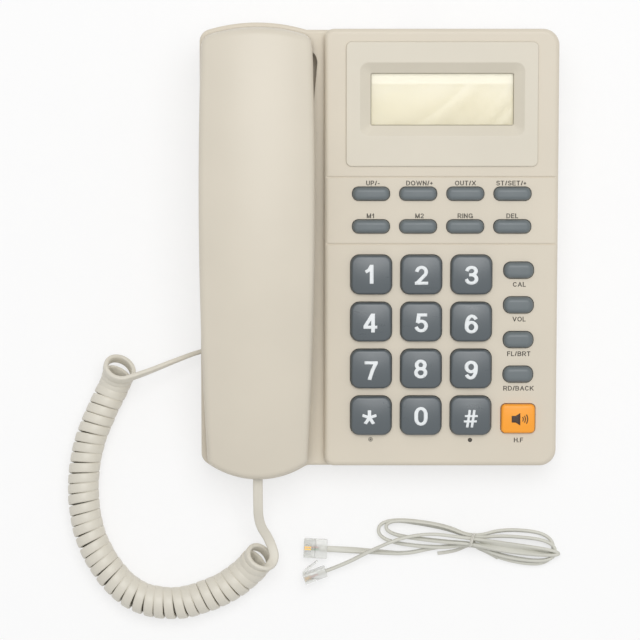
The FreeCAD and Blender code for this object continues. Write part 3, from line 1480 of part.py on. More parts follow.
def two_arcs(start, first_heading, end, last_heading):
    """Two arcs that meet smoothly and follow a heading at each end."""
    run = end - start
    a = 2 * (first_heading.dot(last_heading) - 1)
    b = -2 * run.dot(first_heading + last_heading)
    c = run.dot(run)
    reach = (-b - math.sqrt(b * b - 4 * a * c)) / (2 * a)
    first_corner = start + first_heading * reach
    last_corner = end - last_heading * reach
    middle = (first_corner + last_corner) / 2
    middle_heading = (last_corner - first_corner).normalize()
    return [arc_from(start, first_heading, middle), arc_from(middle, middle_heading, end)]


def curly_cord():
    cord = CurlyCord()
    edges = cord.edges()
    shape = sweep(edges, cord.wire)
    report_tube("handset_cord_coil", edges, cord.wire, shape)
    count = round(cord.turns * 24)
    points = [cord.point(step / count) for step in range(count + 1)]
    print(f"handset_cord_coil: least gap to itself {least_gap(points, 14, cord.wire):.2f} mm")
    add_solid("handset_cord_coil", shape)

    plug_face = V((D.plug_setback - D.base_width / 2).value, D.cord_jack_y.value, JACK_Z.value)
    meeting = cord.lead_start()
    tube("handset_cord_base_tail", [plug_face, plug_face + V(-6, 0, 0), V(-101, -52.4, 12),
                                    meeting - cord.heading(0) * 9, meeting], cord.wire)

    out = V(0, -COS.value, -SIN.value)
    jack_y = HANDSET_PLUG_END * COS - D.handset_jack_lift * SIN
    jack_z = D.panel_mid_height + HANDSET_PLUG_END * SIN + D.handset_jack_lift * COS
    plug_face = V(D.cradle_x.value, jack_y.value, jack_z.value)
    meeting = cord.lead_end()
    tube("handset_cord_handset_tail", [plug_face, plug_face + out * 10, V(-58.8, -129, 20.5),
                                       meeting + cord.heading(1) * 8.5, meeting], cord.wire)


HANK = FreeCAD.Placement(V(D.hank_x.value, D.hank_y.value, 0),
                         FreeCAD.Rotation(V(0, 0, 1), D.hank_turn.value))


def in_hank(along, across, height):
    """A place in the hank's own frame: along it from the waist, across it, and up."""
    return HANK.multVec(V(along, across, height))


def hank_points():
    """Two and a half loops of the line cord, drawn in at the waist and stacked, each one climbing back."""
    waist = D.hank_waist_half_width.value
    lift = D.hank_waist_lift.value
    layer = D.hank_layer.value
    ground = D.line_wire.value / 2 + D.hank_ground_gap.value
    neck = D.hank_neck.value
    points = [in_hank(-9, -waist - 2.4, ground + lift - 0.6), in_hank(0, -waist, ground + lift)]
    for loop in range(3):
        level = ground + layer * loop
        shorter = D.hank_shrink.value * loop
        half_width = D.hank_lobe_half_width.value - D.hank_narrowing.value * loop
        side = half_width - 1.2
        right = D.hank_right_length.value - shorter
        left = D.hank_left_length.value - shorter
        points += [in_hank(neck, -side, level), in_hank(right, -half_width, level),
                   in_hank(right, half_width, level), in_hank(neck, side, level),
                   in_hank(0, waist, level + lift)]
        if loop < 2:
            points += [in_hank(-neck, side, level), in_hank(-left, half_width, level),
                       in_hank(-left, -half_width, level), in_hank(-neck, -side, level + layer + lift / 2),
                       in_hank(0, -waist, level + layer + lift)]
    points.append(in_hank(-9, waist, ground + layer * 2 + lift - 0.6))
    return points


# The two line plugs: where the cord leaves each one, its turn about Z and its roll about the cord.
PLUG_A = FreeCAD.Placement(V(-25.2, -147.3, 4.25), FreeCAD.Rotation(-2.6, 0, 0))
PLUG_B = FreeCAD.Placement(V(-25.8, -158.2, 5.3), FreeCAD.Rotation(20, 0, 95))


def line_plug(name, place, lean):
    """Modular plug whose nose points along its own -X, with a latch that leans away under it."""
    body = move_to(block(f"{name}_body", D.plug_length, D.line_plug_width, D.plug_body_thickness),
                   -D.plug_length, -D.line_plug_width / 2, -D.plug_body_thickness / 2)
    latch = block(f"{name}_latch", D.latch_length, D.latch_width, D.latch_thickness)
    latch.Placement = FreeCAD.Placement(V(), FreeCAD.Rotation(V(0, 1, 0), lean))
    move_to(latch, -D.plug_length, -D.latch_width / 2, -D.plug_body_thickness / 2 - D.latch_thickness / 2)
    plug = boolean("Fuse", name, body, [latch])
    plug.Placement = place
    return plug


def line_cord():
    wire = D.line_wire.value
    points = hank_points()
    edges, radii = rounded_route(points)
    shape = sweep(edges, wire)
    report_tube("line_cord_hank", edges, wire, shape)
    print("line_cord_hank: least radius " + f"{min(radii):.1f}")
    trail = [spot for edge in edges for spot in edge.discretize(Number=9)[:-1]]
    print(f"line_cord_hank: least gap to itself {least_gap(trail, 24, wire):.2f} mm")
    add_solid("line_cord_hank", shape)

    first_heading = (points[1] - points[0]).normalize()
    leave_a = PLUG_A.Rotation.multVec(V(1, 0, 0))
    tube("line_cord_tail_a", [PLUG_A.Base, PLUG_A.Base + leave_a * 10.5, V(0, -149, 1.4), V(14, -150, 1.4),
                              points[0] - first_heading * 11, points[0]], wire)

    last_heading = (points[-1] - points[-2]).normalize()
    leave_b = PLUG_B.Rotation.multVec(V(1, 0, 0))
    tube("line_cord_tail_b", [points[-1], points[-1] + last_heading * 12, V(13, -141.2, 8.0),
                              V(3, -145, 8.2), V(-5, -148.8, 6.6), PLUG_B.Base + leave_b * 10,
                              PLUG_B.Base], wire)
    plugs = [line_plug("line_plug_a", PLUG_A, D.latch_pressed_lean.value),
             line_plug("line_plug_b", PLUG_B, D.latch_free_lean.value)]
    finished("line_plugs", group("line_plugs", plugs))


def twist_tie():
    """Wire tie that lies on the table, goes once around the hank's waist and comes back to the table."""
    reach = D.hank_waist_half_width.value + D.line_wire.value / 2 + D.tie_gap.value + D.tie_wire.value
    ground = D.tie_wire.value / 2 + D.hank_ground_gap.value
    top = (D.line_wire.value * 1.5 + D.hank_layer.value * 2 + D.hank_waist_lift.value / 2 + D.tie_gap.value
           + D.tie_wire.value)
    tube("twist_tie", [in_hank(-11, -reach - 3.6, ground), in_hank(-1.4, -reach, ground),
                       in_hank(-1.2, -reach, top), in_hank(-0.2, reach, top), in_hank(0.6, reach, ground),
                       in_hank(1.4, -reach - 0.4, ground), in_hank(9.5, -reach - 3.8, ground)],
         D.tie_wire.value)


base_upper_housing()
base_lower_cover()
rubber_feet()
base_screws()
for key in KEYS:
    key_cap(*key)
key_mat()
main_board()
display_bezel()
display_plate("display_lens", D.lens_lip, D.lens_thickness, BEZEL_FOOT)
display_plate("lcd_panel", D.lcd_lip, D.lcd_thickness, BEZEL_FOOT - D.lens_thickness)
hook_plunger()
hook_switch()
loudspeaker()
hands_free_mic()
line_jack()
cord_jack()
base_end_plug()


handset_outer_shell()
handset_inner_shell()
handset_insides()
handset_jack()
handset_end_plug()


curly_cord()
line_cord()
twist_tie()


def check(things):
    """Stops the build where a feature has failed or a finished piece is not sound."""
    for thing in doc.Objects:
        if "Invalid" in thing.State or "Error" in thing.State:
            raise RuntimeError(f"{thing.Name} ({thing.Label}) is {thing.State}")
    for thing in things:
        if thing.Shape.isNull() or not thing.Shape.isValid() or not thing.Shape.Solids:
            raise RuntimeError(f"{thing.Label} has no sound solid")


doc.recompute()
check(parts)
os.makedirs("parts", exist_ok=True)
for thing in parts:
    thing.Shape.exportStep(f"parts/{thing.Label}.step")
    box = thing.Shape.BoundBox
    print(f"{thing.Label}: {len(thing.Shape.Solids)} solids, {thing.Shape.Volume:.1f} mm3,"
          f" {box.XLength:.1f} x {box.YLength:.1f} x {box.ZLength:.1f} mm")
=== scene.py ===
import bisect
import math

import bmesh
import bpy
from mathutils import Matrix, Quaternion, Vector
from mathutils.bvhtree import BVHTree
from mathutils.geometry import delaunay_2d_cdt


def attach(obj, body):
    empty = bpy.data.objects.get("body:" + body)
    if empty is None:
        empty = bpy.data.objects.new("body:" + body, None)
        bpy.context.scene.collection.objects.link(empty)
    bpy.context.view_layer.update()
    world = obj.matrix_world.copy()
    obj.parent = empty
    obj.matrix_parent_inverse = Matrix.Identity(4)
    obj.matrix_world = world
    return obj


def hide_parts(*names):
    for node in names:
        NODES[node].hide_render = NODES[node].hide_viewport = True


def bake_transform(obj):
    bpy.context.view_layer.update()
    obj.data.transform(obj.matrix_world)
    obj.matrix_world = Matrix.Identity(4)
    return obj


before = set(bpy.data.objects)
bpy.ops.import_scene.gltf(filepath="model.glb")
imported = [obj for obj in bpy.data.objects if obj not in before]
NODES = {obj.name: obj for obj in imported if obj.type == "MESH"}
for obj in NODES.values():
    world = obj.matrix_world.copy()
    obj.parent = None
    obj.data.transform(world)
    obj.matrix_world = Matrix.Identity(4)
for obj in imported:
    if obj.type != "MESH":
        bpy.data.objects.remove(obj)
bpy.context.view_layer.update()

MM = 0.001
SCENE = bpy.context.scene

# The key panel slopes down to the front; keys and prints lie in its own frame.
PANEL_TILT = math.radians(7)
PANEL_HEIGHT = 37
PANEL = Matrix.Translation((0, 0, PANEL_HEIGHT * MM)) @ Matrix.Rotation(PANEL_TILT, 4, "X")

DIAL_KEYS = {"key_1": "1", "key_2": "2", "key_3": "3", "key_4": "4", "key_5": "5", "key_6": "6",
             "key_7": "7", "key_8": "8", "key_9": "9", "key_star": "*", "key_0": "0", "key_hash": "#"}
FUNCTION_KEYS = {"up_key": "UP/-", "down_key": "DOWN/+", "out_key": "OUT/X", "set_key": "ST/SET/+",
                 "memory_1_key": "M1", "memory_2_key": "M2", "ring_key": "RING", "delete_key": "DEL"}
SIDE_KEYS = {"call_key": "CAL", "volume_key": "VOL", "flash_key": "FL/BRT", "redial_key": "RD/BACK"}


# Camera
EYE = (-28.8, -32.9, 1500)
LENS = 168.3
SENSOR = 36


def camera():
    lens = bpy.data.cameras.new("camera")
    lens.sensor_width = SENSOR
    lens.lens = LENS
    eye = bpy.data.objects.new("camera", lens)
    eye.location = Vector(EYE) * MM
    SCENE.collection.objects.link(eye)
    SCENE.camera = eye


camera()


# Node trees
class Value:
    """A socket of a node tree, on which Python's operators add Math nodes."""

    def __init__(self, tree, socket):
        self.tree = tree
        self.socket = socket

    def __add__(self, other):
        return self.tree.maths("ADD", self, other)

    def __sub__(self, other):
        return self.tree.maths("SUBTRACT", self, other)

    def __mul__(self, other):
        return self.tree.maths("MULTIPLY", self, other)

    def __rsub__(self, other):
        return self.tree.maths("SUBTRACT", other, self)

    def __gt__(self, other):
        return self.tree.maths("GREATER_THAN", self, other)

    __radd__ = __add__
    __rmul__ = __mul__


class Nodes:
    """The nodes of a material or of the world."""

    def __init__(self, owner):
        owner.use_nodes = True
        self.owner = owner
        self.tree = owner.node_tree
        self.tree.nodes.clear()

    def node(self, kind, settings=None, inputs=None, output=0):
        """Adds a node, makes its settings, fills its sockets and gives one of its outputs."""
        node = self.tree.nodes.new("ShaderNode" + kind)
        for name, setting in (settings or {}).items():
            setattr(node, name, setting)
        for name, value in (inputs or {}).items():
            if isinstance(value, Value):
                self.tree.links.new(value.socket, node.inputs[name])
            else:
                node.inputs[name].default_value = value
        return Value(self, node.outputs[output]) if node.outputs else None

    def maths(self, operation, first, second):
        return self.node("Math", {"operation": operation}, {0: first, 1: second})

    def blend(self, share, low, high):
        """Colour between two, by a share."""
        return self.node("Mix", {"data_type": "RGBA"}, {0: share, 6: low, 7: high}, output=2)

    def noise(self, scale, detail=2.0, stretch=(1, 1, 1)):
        """Noise in the phone's own metres, so many lumps to the metre."""
        place = self.node("TexCoord", output="Object")
        place = self.node("Mapping", {}, {"Vector": place, "Scale": stretch})
        return self.node("TexNoise", {}, {"Vector": place, "Scale": scale, "Detail": detail}, output="Fac")


def colour(red, green, blue):
    """Screen colour, 0 to 255, as the shader's linear colour."""
    def linear(level):
        level /= 255
        return level / 12.92 if level <= 0.04045 else ((level + 0.055) / 1.055) ** 2.4
    return (linear(red), linear(green), linear(blue), 1)


def shaded(tint, factor):
    """A linear colour made darker or lighter."""
    return (*(min(level * factor, 1) for level in tint[:3]), 1)


def surface(nodes, tint, roughness, height=None, distance=0.0, strength=1.0, constants=None):
    """Ends a material in a Principled surface, with a bump where a height is given."""
    inputs = {"Base Color": tint, "Roughness": roughness}
    inputs.update(constants or {})
    if height is not None:
        inputs["Normal"] = nodes.node("Bump", {}, {"Height": height, "Distance": distance,
                                                   "Strength": strength})
    shader = nodes.node("BsdfPrincipled", {}, inputs)
    nodes.node("OutputMaterial", {}, {"Surface": shader})
    return nodes.owner


# Moulded plastic: lumps to the metre in its clouds, grain and streaks, and what they do to its gloss
CLOUDS = 26
GRAIN = 2600
STREAKS = 240
RUBBED_ABOVE = 0.66
RUBBED_GLOSS = 0.05
UNEVEN_GLOSS = 0.1


def moulded(name, tint, roughness, grain=GRAIN, grain_depth=0.02, mottle=0.05, constants=None):
    """Moulded plastic: faint clouds in its colour, a fine spark-eroded grain and a few rubbed streaks."""
    nodes = Nodes(bpy.data.materials.new(name))
    clouds = nodes.noise(CLOUDS, detail=3)
    fine = nodes.noise(grain, detail=3)
    streaks = nodes.noise(STREAKS, stretch=(0.25, 1, 1))
    rubbed = (streaks > RUBBED_ABOVE) * RUBBED_GLOSS
    tone = nodes.blend(clouds, shaded(tint, 1 - mottle), shaded(tint, 1 + mottle))
    rough = clouds * UNEVEN_GLOSS + fine * UNEVEN_GLOSS + (roughness - UNEVEN_GLOSS) - rubbed
    return surface(nodes, tone, rough, height=fine, distance=grain_depth * MM, strength=0.5,
                   constants=constants)


# Cords
ROUTE_RESOLUTION = 24
HEADING_REACH = 0.5


def spline_places(controls):
    """Places along a smooth spline with control points in millimetres."""
    curve = bpy.data.curves.new("route", "CURVE")
    curve.dimensions = "3D"
    spline = curve.splines.new("NURBS")
    spline.points.add(len(controls) - 1)
    for point, place in zip(spline.points, controls):
        point.co = (*(Vector(place) * MM), 1)
    spline.order_u = 3
    spline.use_endpoint_u = True
    spline.resolution_u = ROUTE_RESOLUTION
    holder = bpy.data.objects.new("route", curve)
    mesh = bpy.data.meshes.new_from_object(holder)
    places = [vertex.co.copy() for vertex in mesh.vertices]
    bpy.data.objects.remove(holder)
    bpy.data.curves.remove(curve)
    bpy.data.meshes.remove(mesh)
    return places


class Route:
    """A smooth line on control points, with places and headings by the distance along it."""

    def __init__(self, controls):
        self.places = spline_places(controls)
        self.marks = [0.0]
        for before, after in zip(self.places, self.places[1:]):
            self.marks.append(self.marks[-1] + (after - before).length)
        self.length = self.marks[-1]

    def at(self, distance):
        distance = min(max(distance, 0), self.length)
        after = min(max(bisect.bisect_right(self.marks, distance), 1), len(self.marks) - 1)
        low, high = self.marks[after - 1], self.marks[after]
        return self.places[after - 1].lerp(self.places[after], (distance - low) / (high - low))

    def heading(self, distance):
        reach = HEADING_REACH * MM
        return (self.at(distance + reach) - self.at(distance - reach)).normalized()

    def evenly(self, step):
        """Places along the line, about a step apart."""
        count = math.ceil(self.length / step)
        return [self.at(self.length * index / count) for index in range(count + 1)]


def smooth(share):
    share = min(max(share, 0), 1)
    return share * share * (3 - 2 * share)


def headings(places):
    """Direction of a trail at each of its places."""
    ahead = places[1:] + places[-1:]
    behind = places[:1] + places[:-1]
    return [(after - before).normalized() for before, after in zip(behind, ahead)]


def carried(places, side, last_side=None):
    """Width direction of a flat cord, carried along without twist, or with an even twist to its last side."""
    ways = headings(places)
    sides = [side.copy()]
    for before, after in zip(ways, ways[1:]):
        side = before.rotation_difference(after) @ side
        sides.append(side)
    if last_side is None:
        return sides
    level = (last_side - ways[-1] * last_side.dot(ways[-1])).normalized()
    turn = math.atan2(ways[-1].dot(side.cross(level)), side.dot(level))
    turn -= math.pi * round(turn / math.pi)
    last = len(sides) - 1
    return [Quaternion(way, turn * index / last) @ each
            for index, (way, each) in enumerate(zip(ways, sides))]


OVAL_CORNERS = 16
OVAL_POWER = 0.5


def oval(width, depth):
    """Section of a flat cord: an ellipse squared towards a rounded bar."""
    corners = []
    for index in range(OVAL_CORNERS):
        angle = 2 * math.pi * index / OVAL_CORNERS
        across, through = math.cos(angle), math.sin(angle)
        corners.append((math.copysign(abs(across) ** OVAL_POWER, across) * width / 2 * MM,
                        math.copysign(abs(through) ** OVAL_POWER, through) * depth / 2 * MM))
    return corners


def add_piece(name, mesh, finish, body):
    """Makes a bmesh into a smooth piece that rides on a body."""
    data = bpy.data.meshes.new(name)
    bmesh.ops.recalc_face_normals(mesh, faces=mesh.faces)
    mesh.to_mesh(data)
    mesh.free()
    data.shade_smooth()
    finishes = finish if isinstance(finish, list) else [finish]
    for each in finishes:
        data.materials.append(each)
    piece = bpy.data.objects.new(name, data)
    SCENE.collection.objects.link(piece)
    if body:
        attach(piece, body)
    return piece


def add_ribbon(mesh, places, sides, width, depth, material=0):
    """Adds a flat cord to a mesh: an oval that follows places, its width along sides."""
    section = oval(width, depth)
    rings = []
    for place, side, way in zip(places, sides, headings(places)):
        across = (side - way * side.dot(way)).normalized()
        through = way.cross(across)
        rings.append([mesh.verts.new(place + across * u + through * v) for u, v in section])
    faces = [mesh.faces.new(rings[0]), mesh.faces.new(rings[-1])]
    for edge in [*faces[0].edges, *faces[1].edges]:
        edge.smooth = False
    for near, far in zip(rings, rings[1:]):
        for index in range(OVAL_CORNERS):
            follow = (index + 1) % OVAL_CORNERS
            faces.append(mesh.faces.new((near[index], near[follow], far[follow], far[index])))
    for face in faces:
        face.material_index = material


def ribbon(name, places, sides, width, depth, finish, body):
    mesh = bmesh.new()
    add_ribbon(mesh, places, sides, width, depth)
    return add_piece(name, mesh, finish, body)


def trail_length(places):
    return sum((after - before).length for before, after in zip(places, places[1:]))


# Curly handset cord: the spline that its coil follows, as x, y and the height over where it lies on the
# table, with both ends rising to the sockets that hold them.
CURL_ROUTE = [(-127.6, -55.7, 8.4), (-128.4, -58, 4.4), (-131.3, -65.7, 0), (-136.2, -74.8, 0),
              (-145.2, -96, 0), (-147.6, -121, 0), (-142.4, -146.5, 0), (-124.4, -170.5, 0),
              (-101, -175.4, 0), (-82, -169.4, 0), (-72.8, -164.6, 0), (-64.3, -157.9, 0),
              (-59, -151.2, 5.1), (-57.6, -149.2, 9.6)]
CURL_TURNS = 40.53
CURL_STEPS = 40
CURL_RADIUS = 6.45
CURL_WIDENING = 0.45
CURL_BASE_MOUTH = 1.3
CURL_HANDSET_MOUTH = -0.5
MOUTH_TURNS = 0.8
LEVELLING_TURNS = 0.45
CURL_SWAY = 0.2
CURL_UNEVENNESS = 0.01
CORD_STEP = 0.8
CURL_START_ANGLE = math.radians(135)
CURL_END_STRETCH = 1.5
JACKET_WIDTH = 4.8
JACKET_DEPTH = 2.35
CURL_CLEARANCE = 0.2
BASE_PLUG_FACE = Vector((-86.5, -48.3, 9.3))
BASE_TAIL = [Vector((-89, -48.6, 9.4)), Vector((-103, -54, 13.4))]
HANDSET_PLUG_FACE = Vector((-59.4, -109.22, 27.2))
HANDSET_TAIL = [Vector((-59.4, -121, 25.8)), Vector((-59.2, -133.5, 20))]
BASE_TAIL_LEAD = 9
HANDSET_TAIL_LEAD = 5.5


def level_side(way):
    """Level direction across a way."""
    return way.cross(Vector((0, 0, 1))).normalized()


def curl_radius(share):
    """Middle radius of the coil: a little wider towards the handset, and wide in its first ring."""
    turn = CURL_TURNS * share
    at_base = CURL_BASE_MOUTH * math.exp(-turn / MOUTH_TURNS)
    at_handset = CURL_HANDSET_MOUTH * math.exp((turn - CURL_TURNS) / MOUTH_TURNS)
    return CURL_RADIUS + CURL_WIDENING * smooth(share) + at_base + at_handset


def curl():
    """Places along the coil and the width direction of its jacket, from the base end to the handset end."""
    ground = CURL_RADIUS + JACKET_DEPTH / 2 + CURL_CLEARANCE
    route = Route([(x, y, ground + CURL_WIDENING * smooth(index / len(CURL_ROUTE)) + rise)
                   for index, (x, y, rise) in enumerate(CURL_ROUTE)])
    stretch = CURL_END_STRETCH * MM
    steps = round(CURL_TURNS * CURL_STEPS)
    places, sides = [], []
    for step in range(steps + 1):
        share = step / steps
        turn = CURL_TURNS * share
        drawn_out = 1 - math.exp(-turn) + math.exp(turn - CURL_TURNS)
        loose = CURL_SWAY * math.sin(turn * 1.7) * math.sin(math.pi * share)
        along = (route.length - 2 * stretch) * share + stretch * drawn_out + loose * MM
        heading = route.heading(along)
        right = Vector((heading.y, -heading.x, 0)).normalized()
        angle = CURL_START_ANGLE - 2 * math.pi * turn
        ring = right * math.cos(angle) + right.cross(heading) * math.sin(angle)
        uneven = 1 + CURL_UNEVENNESS * math.sin(turn * 2.3)
        places.append(route.at(along) + ring * curl_radius(share) * uneven * MM)
        sides.append(heading)
    for index, way in enumerate(headings(places)):
        level = smooth(1 - (steps - index) / CURL_STEPS / LEVELLING_TURNS)
        sides[index] = sides[index].lerp(level_side(way), level).normalized()
    return places, sides


def curly_cord(finish):
    coil, coil_sides = curl()
    ways = headings(coil)
    start, end = coil[0] / MM, coil[-1] / MM
    controls = [BASE_PLUG_FACE, *BASE_TAIL, start - ways[0] * BASE_TAIL_LEAD, start]
    tail = Route(controls).evenly(CORD_STEP * MM)
    back = carried(tail[::-1], coil_sides[0], Vector((0, 0, 1)))
    path = tail[:-1] + coil
    sides = back[:0:-1] + coil_sides
    cord = ribbon("handset_cord", path, sides, JACKET_WIDTH, JACKET_DEPTH, finish, "base")
    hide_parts("handset_cord_coil", "handset_cord_base_tail")
    trail_length(path)

    controls = [HANDSET_PLUG_FACE, *HANDSET_TAIL, end + ways[-1] * HANDSET_TAIL_LEAD, end]
    tail = Route(controls).evenly(CORD_STEP * MM)
    sides = [level_side(way) for way in headings(tail)]
    cord = ribbon("handset_cord_tail", tail, sides, JACKET_WIDTH, JACKET_DEPTH, finish, None)
    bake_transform(cord)
    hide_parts("handset_cord_handset_tail")
    trail_length(tail)


# Folded line cord: its hank's own frame, with the waist at the origin, and the plugs on its two ends.
# Each loop has the reach of its tip, half its width and where its middle lies across the hank, and how far
# its two strands stand on edge, in degrees, going out and coming back.
HANK = Matrix.Translation((47.2, -143, 0)) @ Matrix.Rotation(math.radians(-6.9), 4, "Z")
LINE_WIDTH = 3.1
LINE_DEPTH = 1.7
HANK_GROUND = 1.65
HANK_LAYER = 3.2
HANK_LIFT = 2.4
HANK_WAIST = 1.2
HANK_NECK = 16
HANK_END = 9
NECK_LAYER = 0.8 * HANK_LAYER
TIP_LAYER = 0.3 * HANK_LAYER
END_SAG = 0.6
HANK_RIGHT_LOOPS = [(41, 8.05, -0.25, 84, 72), (42, 5.5, -1, 66, 80), (43.7, 1.3, -1.5, 8, 8)]
HANK_LEFT_LOOPS = [(47, 5.8, -0.3, 12, 78), (43.4, 3.9, 1.6, 55, 70)]
ON_EDGE = 88
PLUG_A = Matrix.Translation((-25.2, -147.3, 4.25)) @ Matrix.Rotation(math.radians(-2.6), 4, "Z")
PLUG_B_ROLL = 95
PLUG_B = (Matrix.Translation((-25.8, -158.2, 5.3)) @ Matrix.Rotation(math.radians(20), 4, "Z")
          @ Matrix.Rotation(math.radians(PLUG_B_ROLL), 4, "X"))

# The cord's two ends between plug and hank: their points with how far the cord stands on edge there, and how
# far it runs straight out of each plug and of the hank.
TAIL_A = [(Vector((0, -149, 1.6)), 62), (Vector((14, -150, 1.6)), 80)]
TAIL_B = [(Vector((13, -141.2, 8)), ON_EDGE), (Vector((3, -145, 8.2)), ON_EDGE),
          (Vector((-5, -148.8, 6.6)), PLUG_B_ROLL)]
PLUG_A_LEAD = 10.5
PLUG_B_LEAD = 10
HANK_LEAD_A = 11
HANK_LEAD_B = 12
LINE_CLEARANCE = 0.05


def in_hank(along, across, height):
    return HANK @ Vector((along, across, height))


def hank_loop(loop, shape, away, climb):
    """Controls of one loop of the hank and how far the cord stands on edge at each of them."""
    tip, half_width, middle, going, coming = shape
    near = HANK_GROUND + NECK_LAYER * loop
    level = HANK_GROUND + TIP_LAYER * loop
    out = middle - away * half_width
    back = middle + away * half_width
    return [(in_hank(away * HANK_NECK, out, near), going),
            (in_hank(away * tip, out, level), ON_EDGE),
            (in_hank(away * tip, back, level), ON_EDGE),
            (in_hank(away * HANK_NECK, back, near + climb), coming)]


def hank_controls():
    """Two and a half loops, drawn in at the waist and stacked there; each climbs on its way back."""
    lowest = HANK_GROUND + HANK_LIFT
    controls = [(in_hank(-HANK_END, -HANK_WAIST - 2.4, lowest - END_SAG), ON_EDGE)]
    for loop, shape in enumerate(HANK_RIGHT_LOOPS):
        waist = lowest + HANK_LAYER * loop
        controls.append((in_hank(0, -HANK_WAIST, waist), ON_EDGE))
        controls += hank_loop(loop, shape, 1, 0)
        controls.append((in_hank(0, HANK_WAIST, waist), ON_EDGE))
        if loop < len(HANK_LEFT_LOOPS):
            controls += hank_loop(loop, HANK_LEFT_LOOPS[loop], -1, HANK_LAYER)
    controls.append((in_hank(-HANK_END, HANK_WAIST, waist - END_SAG), ON_EDGE))
    return controls


def line_cord(finish):
    hank = hank_controls()
    first_way = (hank[1][0] - hank[0][0]).normalized()
    last_way = (hank[-1][0] - hank[-2][0]).normalized()
    leave_a = PLUG_A.to_3x3() @ Vector((1, 0, 0))
    leave_b = PLUG_B.to_3x3() @ Vector((1, 0, 0))
    face_a, face_b = PLUG_A.translation, PLUG_B.translation
    tail_a = [(face_a, 0), (face_a + leave_a * PLUG_A_LEAD, 20), *TAIL_A,
              (hank[0][0] - first_way * HANK_LEAD_A, 84)]
    tail_b = [(hank[-1][0] + last_way * HANK_LEAD_B, ON_EDGE), *TAIL_B,
              (face_b + leave_b * PLUG_B_LEAD, PLUG_B_ROLL), (face_b, PLUG_B_ROLL)]
    controls = tail_a + hank + tail_b
    route = Route([place for place, edge in controls])
    edges = [spot.x / MM for spot in spline_places([(edge, 0, 0) for place, edge in controls])]
    sides = []
    for place, way, edge in zip(route.places, headings(route.places), edges):
        level = Vector((0, 0, 1)).cross(way).normalized()
        side = Quaternion(way, math.radians(-edge)) @ level
        sides.append(side)
        stands = (abs(side.z) * LINE_WIDTH + math.sqrt(1 - side.z ** 2) * LINE_DEPTH) / 2
        place.z = max(place.z, (stands + LINE_CLEARANCE) * MM)
    places = route.places
    cord = ribbon("line_cord", places, sides, LINE_WIDTH, LINE_DEPTH, finish, "base")
    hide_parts("line_cord_hank", "line_cord_tail_a", "line_cord_tail_b")
    trail_length(places)


# Twist tie: once round the hank's waist, with both ends on the table.
TIE_WIDTH = 1.7
TIE_DEPTH = 0.8
TIE_REACH = 2.75
TIE_GROUND = 0.7
TIE_TOP = 13.8
TIE_STEP = 0.5


def twist_tie(finish):
    controls = [in_hank(-16.2, -8.8, TIE_GROUND), in_hank(-8, -7, TIE_GROUND),
                in_hank(-1.4, -TIE_REACH, TIE_GROUND), in_hank(-1.2, -TIE_REACH, TIE_TOP),
                in_hank(-0.2, TIE_REACH + 0.6, TIE_TOP), in_hank(0.6, TIE_REACH + 0.6, TIE_GROUND),
                in_hank(1.4, -TIE_REACH - 0.4, TIE_GROUND), in_hank(8, -5, TIE_GROUND),
                in_hank(14.1, -7.5, TIE_GROUND)]
    places = Route(controls).evenly(TIE_STEP * MM)
    sides = carried(places, HANK.to_3x3() @ Vector((0, 1, 0)))
    tie = ribbon("hank_tie", places, sides, TIE_WIDTH, TIE_DEPTH, finish, "base")
    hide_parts("twist_tie")
    trail_length(places)


# Modular plugs on the line cord, in their own frame: the nose points along -X and the cord leaves along +X.
PLUG_LENGTH = 11.7
PLUG_WIDTH = 9.65
PLUG_DEPTH = 4.6
PLUG_DECK = 0.9
PLUG_HOOD = 6.4
HOOD_SLOPE = 0.7
PLUG_RAIL = 0.8
PLUG_BEVEL = 0.3
CONTACT_PITCH = 1.02
CONTACT_HALF = 0.26
CONTACT_ENDS = (-PLUG_LENGTH + 0.35, -8.1)
CONTACT_LEVELS = (-0.6, 1.75)
SLOT_RIBS = range(-3, 4)
RIB_HALF = 0.2
RIB_ENDS = (-PLUG_LENGTH + 0.2, -7.6)
RIB_TOP = 1.9
CORE_WIDTH = 0.9
CORE_TRAIL = ((-3.6, 0.1), (-6, 0.2), (-8.4, 0.3))
SHEATH_TRAIL = (-4.2, -2, 0.05)
LATCH_HINGE = (-PLUG_LENGTH + 0.3, -PLUG_DEPTH / 2 + 0.2)
LATCH_LENGTH = 10
LATCH_WIDTH = 3.2
LATCH_DEPTH = 0.9
LATCH_TIP = LATCH_DEPTH * 0.7
LATCH_STOP = 0.45
LATCH_STOP_FOOT = (0.4, 5.4)
LATCH_STOP_TOP = (2.4, 5.2)
LATCH_BEVEL = 0.12
PLUG_A_LEAN = math.radians(8)
PLUG_B_LEAN = math.radians(23)


def add_block(mesh, place, low, high):
    """Adds a block between two corners of a frame in millimetres."""
    low, high = Vector(low), Vector(high)
    seat = Matrix.Translation((low + high) / 2) @ Matrix.Diagonal((*(high - low), 1))
    made = bmesh.ops.create_cube(mesh, size=1, matrix=place @ seat)
    for edge in {edge for vertex in made["verts"] for edge in vertex.link_edges}:
        edge.smooth = False


def add_prism(mesh, place, outline, half_width, bevel):
    """Adds a side outline of a plug, drawn in X and Z, across its width."""
    near = [mesh.verts.new(place @ Vector((x, -half_width, z))) for x, z in outline]
    far = [mesh.verts.new(place @ Vector((x, half_width, z))) for x, z in outline]
    faces = [mesh.faces.new(near), mesh.faces.new(far[::-1])]
    for index in range(len(outline)):
        follow = (index + 1) % len(outline)
        faces.append(mesh.faces.new((near[index], far[index], far[follow], near[follow])))
    edges = {edge for face in faces for edge in face.edges}
    bmesh.ops.bevel(mesh, geom=list(edges), offset=bevel * MM, segments=2, affect="EDGES", profile=0.5)


